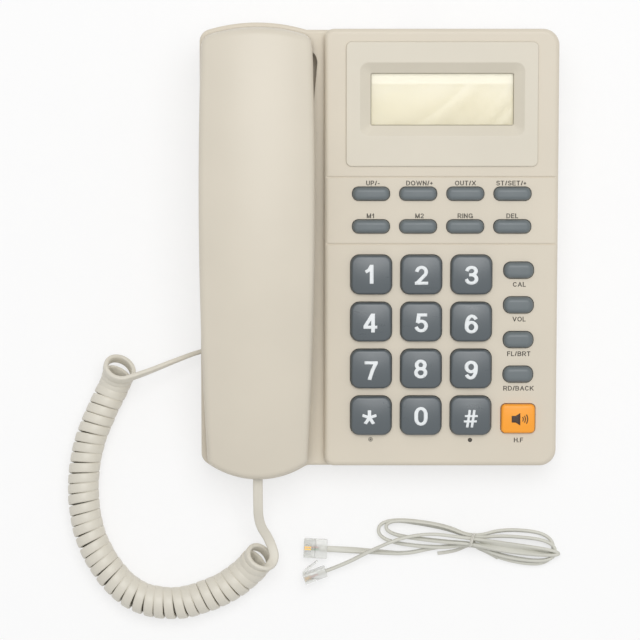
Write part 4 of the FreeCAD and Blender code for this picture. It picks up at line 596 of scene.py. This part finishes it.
def plug_outline():
    """Side view of the clear body: a low nose with the contact slots, and a hood over the cord."""
    half = PLUG_DEPTH / 2
    return [(-PLUG_LENGTH, -half), (0, -half), (0, half), (-PLUG_HOOD + HOOD_SLOPE, half),
            (-PLUG_HOOD, PLUG_DECK), (-PLUG_LENGTH, PLUG_DECK)]


def latch_outline(lean):
    """Side view of the latch: from a hinge at the nose it leans away below the body, with a stop step."""
    def lever(along, off):
        return (LATCH_HINGE[0] + along * math.cos(lean) - off * math.sin(lean),
                LATCH_HINGE[1] - along * math.sin(lean) - off * math.cos(lean))
    foot, top = LATCH_STOP_FOOT, LATCH_STOP_TOP
    return [lever(0, 0), lever(LATCH_LENGTH, 0), lever(LATCH_LENGTH, LATCH_TIP),
            lever(foot[1], LATCH_DEPTH), lever(top[1], LATCH_DEPTH + LATCH_STOP),
            lever(top[0], LATCH_DEPTH + LATCH_STOP), lever(foot[0], LATCH_DEPTH)]


def line_plugs(clear, contacts, wires):
    """Shells, contacts and wires of both plugs, each as one piece."""
    shells, gold, inside = bmesh.new(), bmesh.new(), bmesh.new()
    half = PLUG_WIDTH / 2
    for seat, lean in ((PLUG_A, PLUG_A_LEAN), (PLUG_B, PLUG_B_LEAN)):
        place = Matrix.Scale(MM, 4) @ seat
        across = [place.to_3x3() @ Vector((0, 1, 0))] * 3
        add_prism(shells, place, plug_outline(), half, PLUG_BEVEL)
        add_prism(shells, place, latch_outline(lean), LATCH_WIDTH / 2, LATCH_BEVEL)
        for side in (-1, 1):
            near, far = sorted((side * half, side * (half - PLUG_RAIL)))
            add_block(shells, place, (-PLUG_LENGTH, near, PLUG_DECK), (-PLUG_HOOD, far, PLUG_DEPTH / 2))
        for slot in SLOT_RIBS:
            rib = slot * CONTACT_PITCH
            add_block(shells, place, (RIB_ENDS[0], rib - RIB_HALF, PLUG_DECK),
                      (RIB_ENDS[1], rib + RIB_HALF, RIB_TOP))
        for wire, side in ((1, -0.5), (2, 0.5)):
            spot = side * CONTACT_PITCH
            add_block(gold, place, (CONTACT_ENDS[0], spot - CONTACT_HALF, CONTACT_LEVELS[0]),
                      (CONTACT_ENDS[1], spot + CONTACT_HALF, CONTACT_LEVELS[1]))
            trail = [place @ Vector((x, spot, z)) for x, z in CORE_TRAIL]
            add_ribbon(inside, trail, across, CORE_WIDTH, CORE_WIDTH, wire)
        sheath = [place @ Vector((x, 0, 0)) for x in SHEATH_TRAIL]
        add_ribbon(inside, sheath, across, LINE_WIDTH, LINE_DEPTH)
    shell = add_piece("line_plug_shells", shells, clear, "base")
    pieces = [shell, add_piece("line_plug_contacts", gold, contacts, "base"),
              add_piece("line_plug_wires", inside, wires, "base")]
    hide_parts("line_plugs")
    return pieces


# Painted shade: a dark strip around the foot of the display window, standing in for the shadow at the
# window's step, in the panel's frame.
WINDOW_MIDDLE = (30.7, 74.8)
WINDOW_HALF = (34.85, 12.75)
WINDOW_LEVEL = -3
SHADE_STRIP_WIDTH = 0.32
SHADE_STRIP_RISE = 0.3


def painted_window_shade(finish):
    mesh = bmesh.new()
    place = PANEL @ Matrix.Scale(MM, 4)
    (x, v), (half_width, half_depth) = WINDOW_MIDDLE, WINDOW_HALF
    left, right, front, back = x - half_width, x + half_width, v - half_depth, v + half_depth
    sides = [(left, front, left + SHADE_STRIP_WIDTH, back), (right - SHADE_STRIP_WIDTH, front, right, back),
             (left + SHADE_STRIP_WIDTH, front, right - SHADE_STRIP_WIDTH, front + SHADE_STRIP_WIDTH),
             (left + SHADE_STRIP_WIDTH, back - SHADE_STRIP_WIDTH, right - SHADE_STRIP_WIDTH, back)]
    for low_x, low_v, high_x, high_v in sides:
        add_block(mesh, place, (low_x, low_v, WINDOW_LEVEL), (high_x, high_v, WINDOW_LEVEL + SHADE_STRIP_RISE))
    add_piece("painted_window_shade", mesh, finish, "base")


# Finishes
IVORY = colour(216, 207, 190)
IVORY_HANDSET = colour(216, 208, 192)
IVORY_BEZEL = colour(216, 209, 193)
DIAL_GREY = colour(70, 79, 84)
PILL_GREY = colour(104, 112, 115)
ORANGE = colour(253, 164, 44)
CORD_CREAM = colour(220, 215, 202)
LINE_CREAM = colour(208, 207, 197)
INK_DARK = colour(74, 70, 62)
INK_WHITE = colour(236, 240, 242)
INK_BROWN = colour(58, 40, 30)
# Painted shade: colour of the dark strip that stands in for the shadow around the display window's foot.
PAINTED_SHADE_BROWN = colour(142, 132, 110)
TIE_CREAM = colour(214, 212, 203)
WIRE_GREEN = colour(96, 152, 104)
WIRE_RED = colour(170, 84, 66)
CONTACT_GOLD = colour(214, 168, 84)
PLUG_CLEAR = colour(244, 245, 241)
FITTED_PLUG_CLEAR = colour(228, 230, 224)
LENS_CLEAR = colour(252, 249, 236)
LCD_PALE = colour(246, 241, 220)
LCD_PALER = colour(251, 247, 230)
# Painted light: a faint emission on the switched-off LCD, standing in for light that brightens it in its
# recess.
LCD_PAINTED_LIGHT = colour(255, 249, 226)
LCD_PAINTED_LIGHT_STRENGTH = 0.08
SOLDER_GREEN = colour(28, 92, 58)
TRACK_GREEN = colour(58, 132, 84)
BLACK = colour(38, 38, 38)
SILICONE_GREY = colour(120, 122, 124)
FOOT_BLACK = colour(46, 45, 44)
STEEL = colour(186, 186, 184)
DARK_STEEL = colour(120, 118, 114)
SPEAKER_STEEL = colour(150, 150, 146)
CLEAR_IOR = 1.52
KEY_SHEEN = 0.85


def printed(name, tint):
    """Screen-printed ink with a slightly uneven film."""
    nodes = Nodes(bpy.data.materials.new(name))
    film = nodes.noise(scale=1500, detail=3)
    tone = nodes.blend(film, shaded(tint, 0.9), shaded(tint, 1.06))
    return surface(nodes, tone, film * 0.2 + 0.35, height=film, distance=0.01 * MM, strength=0.4)


def clear_plastic(name, tint, alpha, roughness=0.06, ripple=0.03):
    """Clear moulded plastic with faint flow lines."""
    nodes = Nodes(bpy.data.materials.new(name))
    flow = nodes.noise(scale=420, detail=3, stretch=(1, 0.3, 1))
    tone = nodes.blend(flow, shaded(tint, 0.93), tint)
    return surface(nodes, tone, flow * 0.1 + roughness, height=flow, distance=ripple * MM, strength=0.3,
                   constants={"Alpha": alpha, "IOR": CLEAR_IOR})


def metal(name, tint, roughness):
    """Drawn or turned metal with fine lines and a little tarnish."""
    nodes = Nodes(bpy.data.materials.new(name))
    lines = nodes.noise(scale=900, stretch=(1, 1, 12))
    tarnish = nodes.noise(scale=90, detail=3)
    tone = nodes.blend(tarnish, shaded(tint, 0.82), tint)
    return surface(nodes, tone, lines * 0.2 + roughness, height=lines, distance=0.01 * MM, strength=0.5,
                   constants={"Metallic": 1.0})


def cord_jacket(name, tint):
    """Soft vinyl jacket: fine ripples, and a little grime in its colour."""
    nodes = Nodes(bpy.data.materials.new(name))
    ripple = nodes.noise(scale=900, detail=3)
    grime = nodes.noise(scale=70, detail=3)
    tone = nodes.blend(grime, shaded(tint, 0.93), shaded(tint, 1.05))
    rough = ripple * 0.12 + grime * 0.12 + 0.28
    return surface(nodes, tone, rough, height=ripple, distance=0.03 * MM, strength=0.35)


def display_glass():
    """Pale reflective liquid-crystal panel with a faint weave, switched off; a faint emission on it is
    painted light that brightens it in its recess.
    """
    nodes = Nodes(bpy.data.materials.new("lcd_panel"))
    clouds = nodes.noise(scale=30)
    weave = nodes.noise(scale=3200, detail=1)
    tone = nodes.blend(clouds, LCD_PALE, LCD_PALER)
    return surface(nodes, tone, weave * 0.1 + 0.3, height=weave, distance=0.005 * MM, strength=0.3,
                   constants={"Emission Color": LCD_PAINTED_LIGHT, "Emission Strength": LCD_PAINTED_LIGHT_STRENGTH})


def circuit_board():
    """Green solder mask over copper tracks."""
    nodes = Nodes(bpy.data.materials.new("circuit_board"))
    place = nodes.node("TexCoord", output="Object")
    tracks = nodes.node("TexBrick", {"offset": 0.5}, {"Vector": place, "Scale": 90, "Mortar Size": 0.03},
                        output="Fac")
    clouds = nodes.noise(scale=120, detail=3)
    tone = nodes.blend(tracks, SOLDER_GREEN, TRACK_GREEN)
    return surface(nodes, tone, clouds * 0.2 + 0.25, height=tracks, distance=0.05 * MM, strength=0.6)


def dress(nodes, finish):
    """Gives CAD pieces their finish."""
    for name in nodes:
        for slot in NODES[name].material_slots:
            slot.material = finish


def dress_all():
    housing = moulded("housing_ivory", IVORY, 0.44)
    handset = moulded("handset_ivory", IVORY_HANDSET, 0.4)
    bezel = moulded("bezel_ivory", IVORY_BEZEL, 0.42)
    black = moulded("black_plastic", BLACK, 0.45)
    dial = moulded("dial_key_grey", DIAL_GREY, 0.33, mottle=0.03, constants={"Specular IOR Level": KEY_SHEEN})
    pill = moulded("pill_key_grey", PILL_GREY, 0.36, mottle=0.03)
    dress(["base_upper_housing", "base_lower_cover", "hook_plunger"], housing)
    dress(["handset_outer_shell", "handset_inner_shell"], handset)
    dress(["display_bezel"], bezel)
    lens = clear_plastic("display_lens_clear", LENS_CLEAR, alpha=0.06, roughness=0.22, ripple=0.004)
    dress(["display_lens"], lens)
    dress(["lcd_panel"], display_glass())
    dress(DIAL_KEYS, dial)
    dress([*FUNCTION_KEYS, *SIDE_KEYS], pill)
    dress(["speaker_key"], moulded("speaker_key_orange", ORANGE, 0.34, mottle=0.03))
    dress(["key_mat"], moulded("silicone_mat", SILICONE_GREY, 0.6))
    dress(["main_board"], circuit_board())
    dress(["hook_switch", "line_jack", "cord_jack", "handset_jack", "transmitter_capsule"], black)
    dress(["loudspeaker", "hands_free_mic", "receiver_capsule"], metal("speaker_frame", SPEAKER_STEEL, 0.35))
    dress(["rubber_feet"], moulded("foot_rubber", FOOT_BLACK, 0.7, grain=1400, grain_depth=0.05))
    dress(["base_screws", "handset_screws"], metal("steel", STEEL, 0.22))
    dress(["handset_weight"], metal("plain_steel", DARK_STEEL, 0.4))
    fitted = clear_plastic("plug_clear_fitted", FITTED_PLUG_CLEAR, alpha=0.6)
    dress(["base_end_plug", "handset_end_plug"], fitted)


# Prints
PRINT_LIFT = 0.03
PRINT_THICKNESS = 0.05
PRINT_GRID = 1.2
PRINT_DROP = 25
PRINT_WELD = 0.001
ARC_STEP = 12


def arc(x, v, half_width, half_height, start, stop):
    """Points along part of an ellipse, by its angles in degrees."""
    steps = max(round(abs(stop - start) / ARC_STEP), 2)
    angles = [math.radians(start + (stop - start) * step / steps) for step in range(steps + 1)]
    return [(x + half_width * math.cos(angle), v + half_height * math.sin(angle)) for angle in angles]


def bar(v, start=0.0, stop=1.0):
    return [(start, v), (stop, v)]


STEM = [(0, 0), (0, 1)]
FAR_STEM = [(1, 0), (1, 1)]
ROUND = arc(0.5, 0.64, 0.5, 0.36, 0, 180) + arc(0.5, 0.36, 0.5, 0.36, 180, 360) + [(1, 0.64)]
SIX = [arc(0.5, 0.3, 0.5, 0.3, 0, 360),
       arc(0.53, 0.7, 0.45, 0.3, 36, 90) + arc(0.53, 0.42, 0.53, 0.58, 98, 180) + [(0, 0.3)]]
LOOP_OF_P = [(0, 1), (0.52, 1)] + arc(0.52, 0.72, 0.48, 0.28, 90, -90)[1:] + [(0, 0.44)]
S_CURVE = arc(0.5, 0.75, 0.46, 0.25, 28, 270) + arc(0.5, 0.25, 0.5, 0.25, 90, -152)[1:]

# Each glyph's width over its height, and its strokes in a box from 0 to 1, which their middle lines fill.
GLYPHS = {
    "0": (0.7, [ROUND]),
    "1": (0.45, [FAR_STEM, [(0, 0.69), (0.42, 0.76), (0.94, 1.02)]]),
    "2": (0.7, [arc(0.5, 0.71, 0.48, 0.29, 160, -40) + [(0.02, 0)], bar(0)]),
    "3": (0.7, [arc(0.48, 0.765, 0.46, 0.235, 160, -70), arc(0.48, 0.265, 0.52, 0.265, 75, -160),
                bar(0.53, 0.42, 0.58)]),
    "4": (0.73, [[(0.76, 0), (0.76, 1)], [(0.72, 1.04), (0, 0.3)], bar(0.24)]),
    "5": (0.7, [bar(1, 0.24, 0.92), [(0.24, 1), (0.14, 0.6)], arc(0.48, 0.305, 0.52, 0.305, 118, -152)]),
    "6": (0.7, SIX),
    "7": (0.7, [bar(1), [(1, 0.98), (0.62, 0.5), (0.36, 0)]]),
    "8": (0.7, [arc(0.5, 0.755, 0.43, 0.245, 0, 360), arc(0.5, 0.265, 0.5, 0.265, 0, 360)]),
    "9": (0.7, [[(1 - x, 1 - v) for x, v in stroke] for stroke in SIX]),
    "*": (1.0, [[(0.5, 0.46), (0.5 + reach * math.cos(angle), 0.46 + reach * math.sin(angle))]
                for reach, angle in ((0.54, math.radians(90 + 72 * arm)) for arm in range(5))]),
    "#": (0.78, [[(0.2, 0), (0.4, 1)], [(0.6, 0), (0.8, 1)], bar(0.67, 0.08, 1), bar(0.33, 0, 0.92)]),
    "A": (0.9, [[(0, 0), (0.5, 1), (1, 0)], bar(0.32, 0.2, 0.8)]),
    "B": (0.8, [STEM, [(0, 1), (0.5, 1)] + arc(0.5, 0.765, 0.42, 0.235, 90, -90)[1:] + [(0, 0.53)],
                [(0, 0.53), (0.55, 0.53)] + arc(0.55, 0.265, 0.45, 0.265, 90, -90)[1:] + [(0, 0)]]),
    "C": (0.86, [arc(0.5, 0.5, 0.5, 0.5, 42, 318)]),
    "D": (0.82, [STEM, [(0, 1), (0.45, 1)] + arc(0.45, 0.5, 0.55, 0.5, 90, -90)[1:] + [(0, 0)]]),
    "E": (0.7, [STEM, bar(1), bar(0.52, 0, 0.92), bar(0)]),
    "F": (0.66, [STEM, bar(1), bar(0.5, 0, 0.88)]),
    "G": (0.92, [arc(0.5, 0.5, 0.5, 0.5, 42, 345), bar(0.44, 0.58, 1), [(1, 0.44), (1, 0)]]),
    "H": (0.78, [STEM, FAR_STEM, bar(0.53)]),
    "I": (0.18, [STEM]),
    "K": (0.84, [STEM, [(0, 0.34), (1, 1.04)], [(0.42, 0.56), (1, -0.04)]]),
    "L": (0.64, [STEM, bar(0)]),
    "M": (0.92, [STEM, FAR_STEM, [(0, 1), (0.5, 0), (1, 1)]]),
    "N": (0.78, [STEM, FAR_STEM, [(0, 1), (1, 0)]]),
    "O": (0.94, [arc(0.5, 0.5, 0.5, 0.5, 0, 360)]),
    "P": (0.74, [STEM, LOOP_OF_P]),
    "R": (0.84, [STEM, LOOP_OF_P, [(0.58, 0.38), (0.98, -0.04)]]),
    "S": (0.78, [S_CURVE]),
    "T": (0.76, [bar(1), [(0.5, 0), (0.5, 1)]]),
    "U": (0.78, [[(0, 1), (0, 0.36)] + arc(0.5, 0.36, 0.5, 0.36, 180, 360) + [(1, 1)]]),
    "V": (0.88, [[(0, 1), (0.5, 0), (1, 1)]]),
    "W": (1.25, [[(0, 1), (0.25, 0), (0.5, 1), (0.75, 0), (1, 1)]]),
    "X": (0.86, [[(0, 0), (1, 1)], [(0, 1), (1, 0)]]),
    "/": (0.42, [[(0, 0), (1, 1)]]),
    "-": (0.4, [bar(0.36)]),
    "+": (0.55, [bar(0.45), [(0.5, 0.2), (0.5, 0.7)]]),
    ".": (0.18, [[(0, -0.01), (0, 0.01)]]),
}
LETTER_GAP = 0.17
STEM_TO_BAR = 1.22
SHORTEST_STROKE = 0.01
SHARPEST_MITRE = 0.3
GLYPH_MERGE = 1e-4
GLYPH_CLEANING = 0.002


def stroke_corners(points, half):
    """Four-cornered lengths of a stroke, with square ends where it is open."""
    points = [Vector(point) for point in points]
    points = points[:1] + [after for before, after in zip(points, points[1:])
                           if (after - before).length > SHORTEST_STROKE]
    ways = [(after - before).normalized() for before, after in zip(points, points[1:])]
    if (points[0] - points[-1]).length > half / 10:
        points[0] = points[0] - ways[0] * half
        points[-1] = points[-1] + ways[-1] * half
        before, after = ways[:1] + ways, ways + ways[-1:]
    else:
        before, after = ways[-1:] + ways, ways + ways[:1]
    rims = []
    for point, last, following in zip(points, before, after):
        way = (last + following).normalized()
        out = Vector((-way.y, way.x)) * half / max(way.dot(following), SHARPEST_MITRE)
        rims.append((point + out, point - out))
    return [(near[1], far[1], far[0], near[0]) for near, far in zip(rims, rims[1:])]


def glyph_mesh(glyph, height, weight):
    """Flat mesh of one glyph with its strokes joined, cut to its box, from the box's lower left corner."""
    width, strokes = GLYPHS[glyph]
    wide, tall = width * height - weight, height * STEM_TO_BAR - weight
    corners, lengths = [], []
    for stroke in strokes:
        drawn = [(weight / 2 + x * wide, weight / 2 + v * tall) for x, v in stroke]
        for length in stroke_corners(drawn, weight / 2):
            lengths.append(range(len(corners), len(corners) + 4))
            corners += length
    spots, _, faces, _, _, sources = delaunay_2d_cdt(corners, [], lengths, 0, GLYPH_MERGE)
    mesh = bmesh.new()
    verts = [mesh.verts.new((spot.x, spot.y / STEM_TO_BAR, 0)) for spot in spots]
    for face, source in zip(faces, sources):
        if source:
            mesh.faces.new([verts[index] for index in face])
    loose = [vertex for vertex in mesh.verts if not vertex.link_faces]
    bmesh.ops.delete(mesh, geom=loose, context="VERTS")
    for axis, limit in ((0, width * height), (1, height)):
        for edge, way in ((0, -1), (limit, 1)):
            spot, normal = Vector(), Vector()
            spot[axis], normal[axis] = edge, way
            bmesh.ops.bisect_plane(mesh, geom=[*mesh.verts, *mesh.edges, *mesh.faces], plane_co=spot,
                                   plane_no=normal, clear_outer=True)
    bmesh.ops.dissolve_degenerate(mesh, dist=GLYPH_CLEANING, edges=mesh.edges)
    return mesh


def extent(mesh, axis):
    spots = [vertex.co[axis] for vertex in mesh.verts]
    return min(spots), max(spots)


def add_word(mesh, text, height, weight, x, v):
    """Adds a word to a print, about a place in the panel's frame."""
    widths = [GLYPHS[glyph][0] * height for glyph in text]
    left = x - (sum(widths) + LETTER_GAP * height * (len(text) - 1)) / 2
    for glyph, width in zip(text, widths):
        drawn = glyph_mesh(glyph, height, weight)
        bmesh.ops.translate(drawn, verts=drawn.verts, vec=(left, v - height / 2, 0))
        data = bpy.data.meshes.new("glyph")
        drawn.to_mesh(data)
        drawn.free()
        mesh.from_mesh(data)
        bpy.data.meshes.remove(data)
        left += width + LETTER_GAP * height


def add_patch(mesh, outline):
    """Adds a flat outline to a print, in the panel's frame."""
    mesh.faces.new([mesh.verts.new((x, v, 0)) for x, v in outline])


def band(x, v, inner, outer, start, stop):
    """Outline of part of a ring."""
    angles = [math.radians(start + (stop - start) * step / BAND_STEPS) for step in range(BAND_STEPS + 1)]
    return ([(x + outer * math.cos(angle), v + outer * math.sin(angle)) for angle in angles]
            + [(x + inner * math.cos(angle), v + inner * math.sin(angle)) for angle in reversed(angles)])


def tree_of(node):
    data = NODES[node].data
    places = [vertex.co for vertex in data.vertices]
    return BVHTree.FromPolygons(places, [face.vertices for face in data.polygons])


def cut_in_squares(mesh):
    """Divides a flat print, so that it can bend."""
    for axis in (0, 1):
        low, high = extent(mesh, axis)
        for cut in range(math.ceil(low / PRINT_GRID), math.ceil(high / PRINT_GRID)):
            spot, normal = Vector(), Vector()
            spot[axis], normal[axis] = cut * PRINT_GRID, 1
            bmesh.ops.bisect_plane(mesh, geom=[*mesh.verts, *mesh.edges, *mesh.faces], plane_co=spot,
                                   plane_no=normal)


def lay_print(name, mesh, finish, body, key=None):
    """Lays a print on the panel, or on the crown of a key, as a thin film."""
    up = (PANEL.to_3x3() @ Vector((0, 0, 1))).normalized()
    if key:
        cut_in_squares(mesh)
        tree = tree_of(key)
    for vertex in mesh.verts:
        place = PANEL @ (vertex.co * MM)
        if key:
            place = tree.ray_cast(place + up * PRINT_DROP * MM, -up)[0]
        vertex.co = place + up * PRINT_LIFT * MM
    bmesh.ops.remove_doubles(mesh, verts=mesh.verts, dist=PRINT_WELD * MM)
    piece = add_piece(name, mesh, finish, body)
    film = piece.modifiers.new("film", "SOLIDIFY")
    film.thickness = PRINT_THICKNESS * MM
    film.offset = 1
    return piece


def on_panel(node):
    """Centre of a piece in the panel's frame, in millimetres."""
    unpanel = PANEL.inverted()
    places = [unpanel @ vertex.co for vertex in NODES[node].data.vertices]
    spots = [sorted(place[axis] for place in places) for axis in (0, 1)]
    return [(spot[0] + spot[-1]) / 2 / MM for spot in spots]


DIGIT_HEIGHT = 9.3
DIGIT_WEIGHT = 1.85
# Height and stroke of the two marks, and how far each print lies from its key's middle.
MARK_SIZES = {"*": (7.0, 1.7), "#": (8.8, 1.25)}
DIGIT_SHIFTS = {"1": (-1.0, 0.5), "4": (-0.4, -0.3), "5": (0, -0.2), "6": (0, -0.75), "7": (0, -0.6),
                "8": (-0.2, 0.25), "9": (0, -0.3), "*": (-0.8, -0.45), "#": (0, -1.2)}
LABEL_HEIGHT = 2.3
LABEL_WEIGHT = 0.43
FUNCTION_LABEL_RISE = 5.2
FUNCTION_LABEL_SHIFTS = {"up_key": 0.9, "down_key": 0.6, "set_key": -0.65, "memory_1_key": -0.3,
                         "memory_2_key": 0.7}
SIDE_LABEL_DROP = 7.0
SIDE_LABEL_SHIFT = 0.4
SPEAKER_LABEL_DROP = 10.8
RING_MARK = (-3.9, -92.4)
SPOT_MARK = (45.1, -92.7)
MARK_RADIUS = 1.05
RING_HOLE = 0.72
RING_DOT = 0.4
BAND_STEPS = 10
ICON_CONE = [(-3.2, -1.65), (-1.3, -1.65), (1.0, -3.1), (1.0, 3.1), (-1.3, 1.65), (-3.2, 1.65)]
ICON_WAVES = [(1.85, 2.3), (2.9, 3.35), (4.0, 4.5)]
ICON_WAVE_ANGLE = 32
ICON_WAVE_MIDDLE = 0.4


def key_digits(ink):
    for key, digit in DIAL_KEYS.items():
        mesh = bmesh.new()
        x, v = on_panel(key)
        right, up = DIGIT_SHIFTS.get(digit, (0, 0))
        height, weight = MARK_SIZES.get(digit, (DIGIT_HEIGHT, DIGIT_WEIGHT))
        add_word(mesh, digit, height, weight, x + right, v + up)
        print_piece = lay_print(f"{key}_digit", mesh, ink, key, key)


def speaker_icon(ink):
    mesh = bmesh.new()
    x, v = on_panel("speaker_key")
    add_patch(mesh, [(x + across, v + up) for across, up in ICON_CONE])
    for inner, outer in ICON_WAVES:
        add_patch(mesh, band(x + ICON_WAVE_MIDDLE, v, inner, outer, -ICON_WAVE_ANGLE, ICON_WAVE_ANGLE))
    icon = lay_print("speaker_key_icon", mesh, ink, "speaker_key", "speaker_key")


def panel_labels(ink):
    mesh = bmesh.new()
    for key, text in FUNCTION_KEYS.items():
        x, v = on_panel(key)
        add_word(mesh, text, LABEL_HEIGHT, LABEL_WEIGHT, x + FUNCTION_LABEL_SHIFTS.get(key, 0),
                 v + FUNCTION_LABEL_RISE)
    for key, text in SIDE_KEYS.items():
        x, v = on_panel(key)
        add_word(mesh, text, LABEL_HEIGHT, LABEL_WEIGHT, x + SIDE_LABEL_SHIFT, v - SIDE_LABEL_DROP)
    x, v = on_panel("speaker_key")
    add_word(mesh, "H.F", LABEL_HEIGHT, LABEL_WEIGHT, x + SIDE_LABEL_SHIFT, v - SPEAKER_LABEL_DROP)
    for start in (0, 180):
        add_patch(mesh, band(*RING_MARK, MARK_RADIUS * RING_HOLE, MARK_RADIUS, start, start + 180))
    for mark, radius in ((RING_MARK, MARK_RADIUS * RING_DOT), (SPOT_MARK, MARK_RADIUS)):
        add_patch(mesh, arc(*mark, radius, radius, 0, 360 - ARC_STEP))
    labels = lay_print("panel_labels", mesh, ink, "base")


# Floor and light
FLOOR_REACH = 5
FLOOR_PALE = (0.94, 0.94, 0.94, 1)
FLOOR_PALER = (0.96, 0.96, 0.96, 1)
FLOOR_GLOW = 0.62
WHITE = (1, 1, 1, 1)
WORLD_FILL = 0.55
LAMP_PLACE = (0.1, 0.38, 1.65)
LAMP_SIZE = 1.35
LAMP_POWER = 14.6


def seen_share(nodes):
    """1 where the camera looks, also in a reflection or through clear plastic, and 0 for other rays."""
    camera_ray, glossy_ray, clear_ray = (nodes.node("LightPath", output=f"Is {kind} Ray")
                                         for kind in ("Camera", "Glossy", "Transmission"))
    return nodes.maths("MAXIMUM", nodes.maths("MAXIMUM", camera_ray, glossy_ray), clear_ray)


def stage():
    mesh = bmesh.new()
    bmesh.ops.create_grid(mesh, x_segments=2, y_segments=2, size=FLOOR_REACH)
    nodes = Nodes(bpy.data.materials.new("floor_white"))
    paper = nodes.noise(scale=60)
    tone = nodes.blend(paper, FLOOR_PALE, FLOOR_PALER)
    matt = nodes.node("BsdfPrincipled", {}, {"Base Color": tone, "Roughness": 0.9})
    glow = nodes.node("Emission", {}, {"Color": WHITE, "Strength": 1.0})
    shader = nodes.node("MixShader", {}, {0: seen_share(nodes) * FLOOR_GLOW, 1: matt, 2: glow})
    nodes.node("OutputMaterial", {}, {"Surface": shader})
    add_piece("floor", mesh, nodes.owner, None)


def lamp(name, place, size, power):
    light = bpy.data.lights.new(name, "AREA")
    light.shape = "DISK"
    light.size = size
    light.energy = power
    holder = bpy.data.objects.new(name, light)
    holder.location = place
    holder.rotation_euler = (-Vector(place)).to_track_quat("-Z", "Y").to_euler()
    holder.visible_camera = False
    SCENE.collection.objects.link(holder)


def studio():
    world = bpy.data.worlds.new("studio")
    SCENE.world = world
    nodes = Nodes(world)
    fill = nodes.node("Background", {}, {"Color": WHITE, "Strength": WORLD_FILL})
    white = nodes.node("Background", {}, {"Color": WHITE, "Strength": 1.0})
    shader = nodes.node("MixShader", {}, {0: seen_share(nodes), 1: fill, 2: white})
    nodes.node("OutputWorld", {}, {"Surface": shader})
    lamp("softbox", LAMP_PLACE, LAMP_SIZE, LAMP_POWER)
    SCENE.view_settings.view_transform = "Standard"


curly_cord(cord_jacket("curly_cord_vinyl", CORD_CREAM))
line_jacket = cord_jacket("line_cord_vinyl", LINE_CREAM)
plug_pieces = line_plugs(clear_plastic("plug_clear", PLUG_CLEAR, alpha=0.5),
                         metal("contact_gold", CONTACT_GOLD, 0.2),
                         [line_jacket, moulded("wire_green", WIRE_GREEN, 0.4),
                          moulded("wire_red", WIRE_RED, 0.4)])
line_cord(line_jacket)
twist_tie(moulded("tie_plastic", TIE_CREAM, 0.4))
dress_all()
# Painted shade line around the display window's foot.
painted_window_shade(moulded("painted_window_shade_brown", PAINTED_SHADE_BROWN, 0.5))
key_digits(printed("digit_ink", INK_WHITE))
speaker_icon(printed("icon_ink", INK_BROWN))
panel_labels(printed("label_ink", INK_DARK))
stage()
studio()
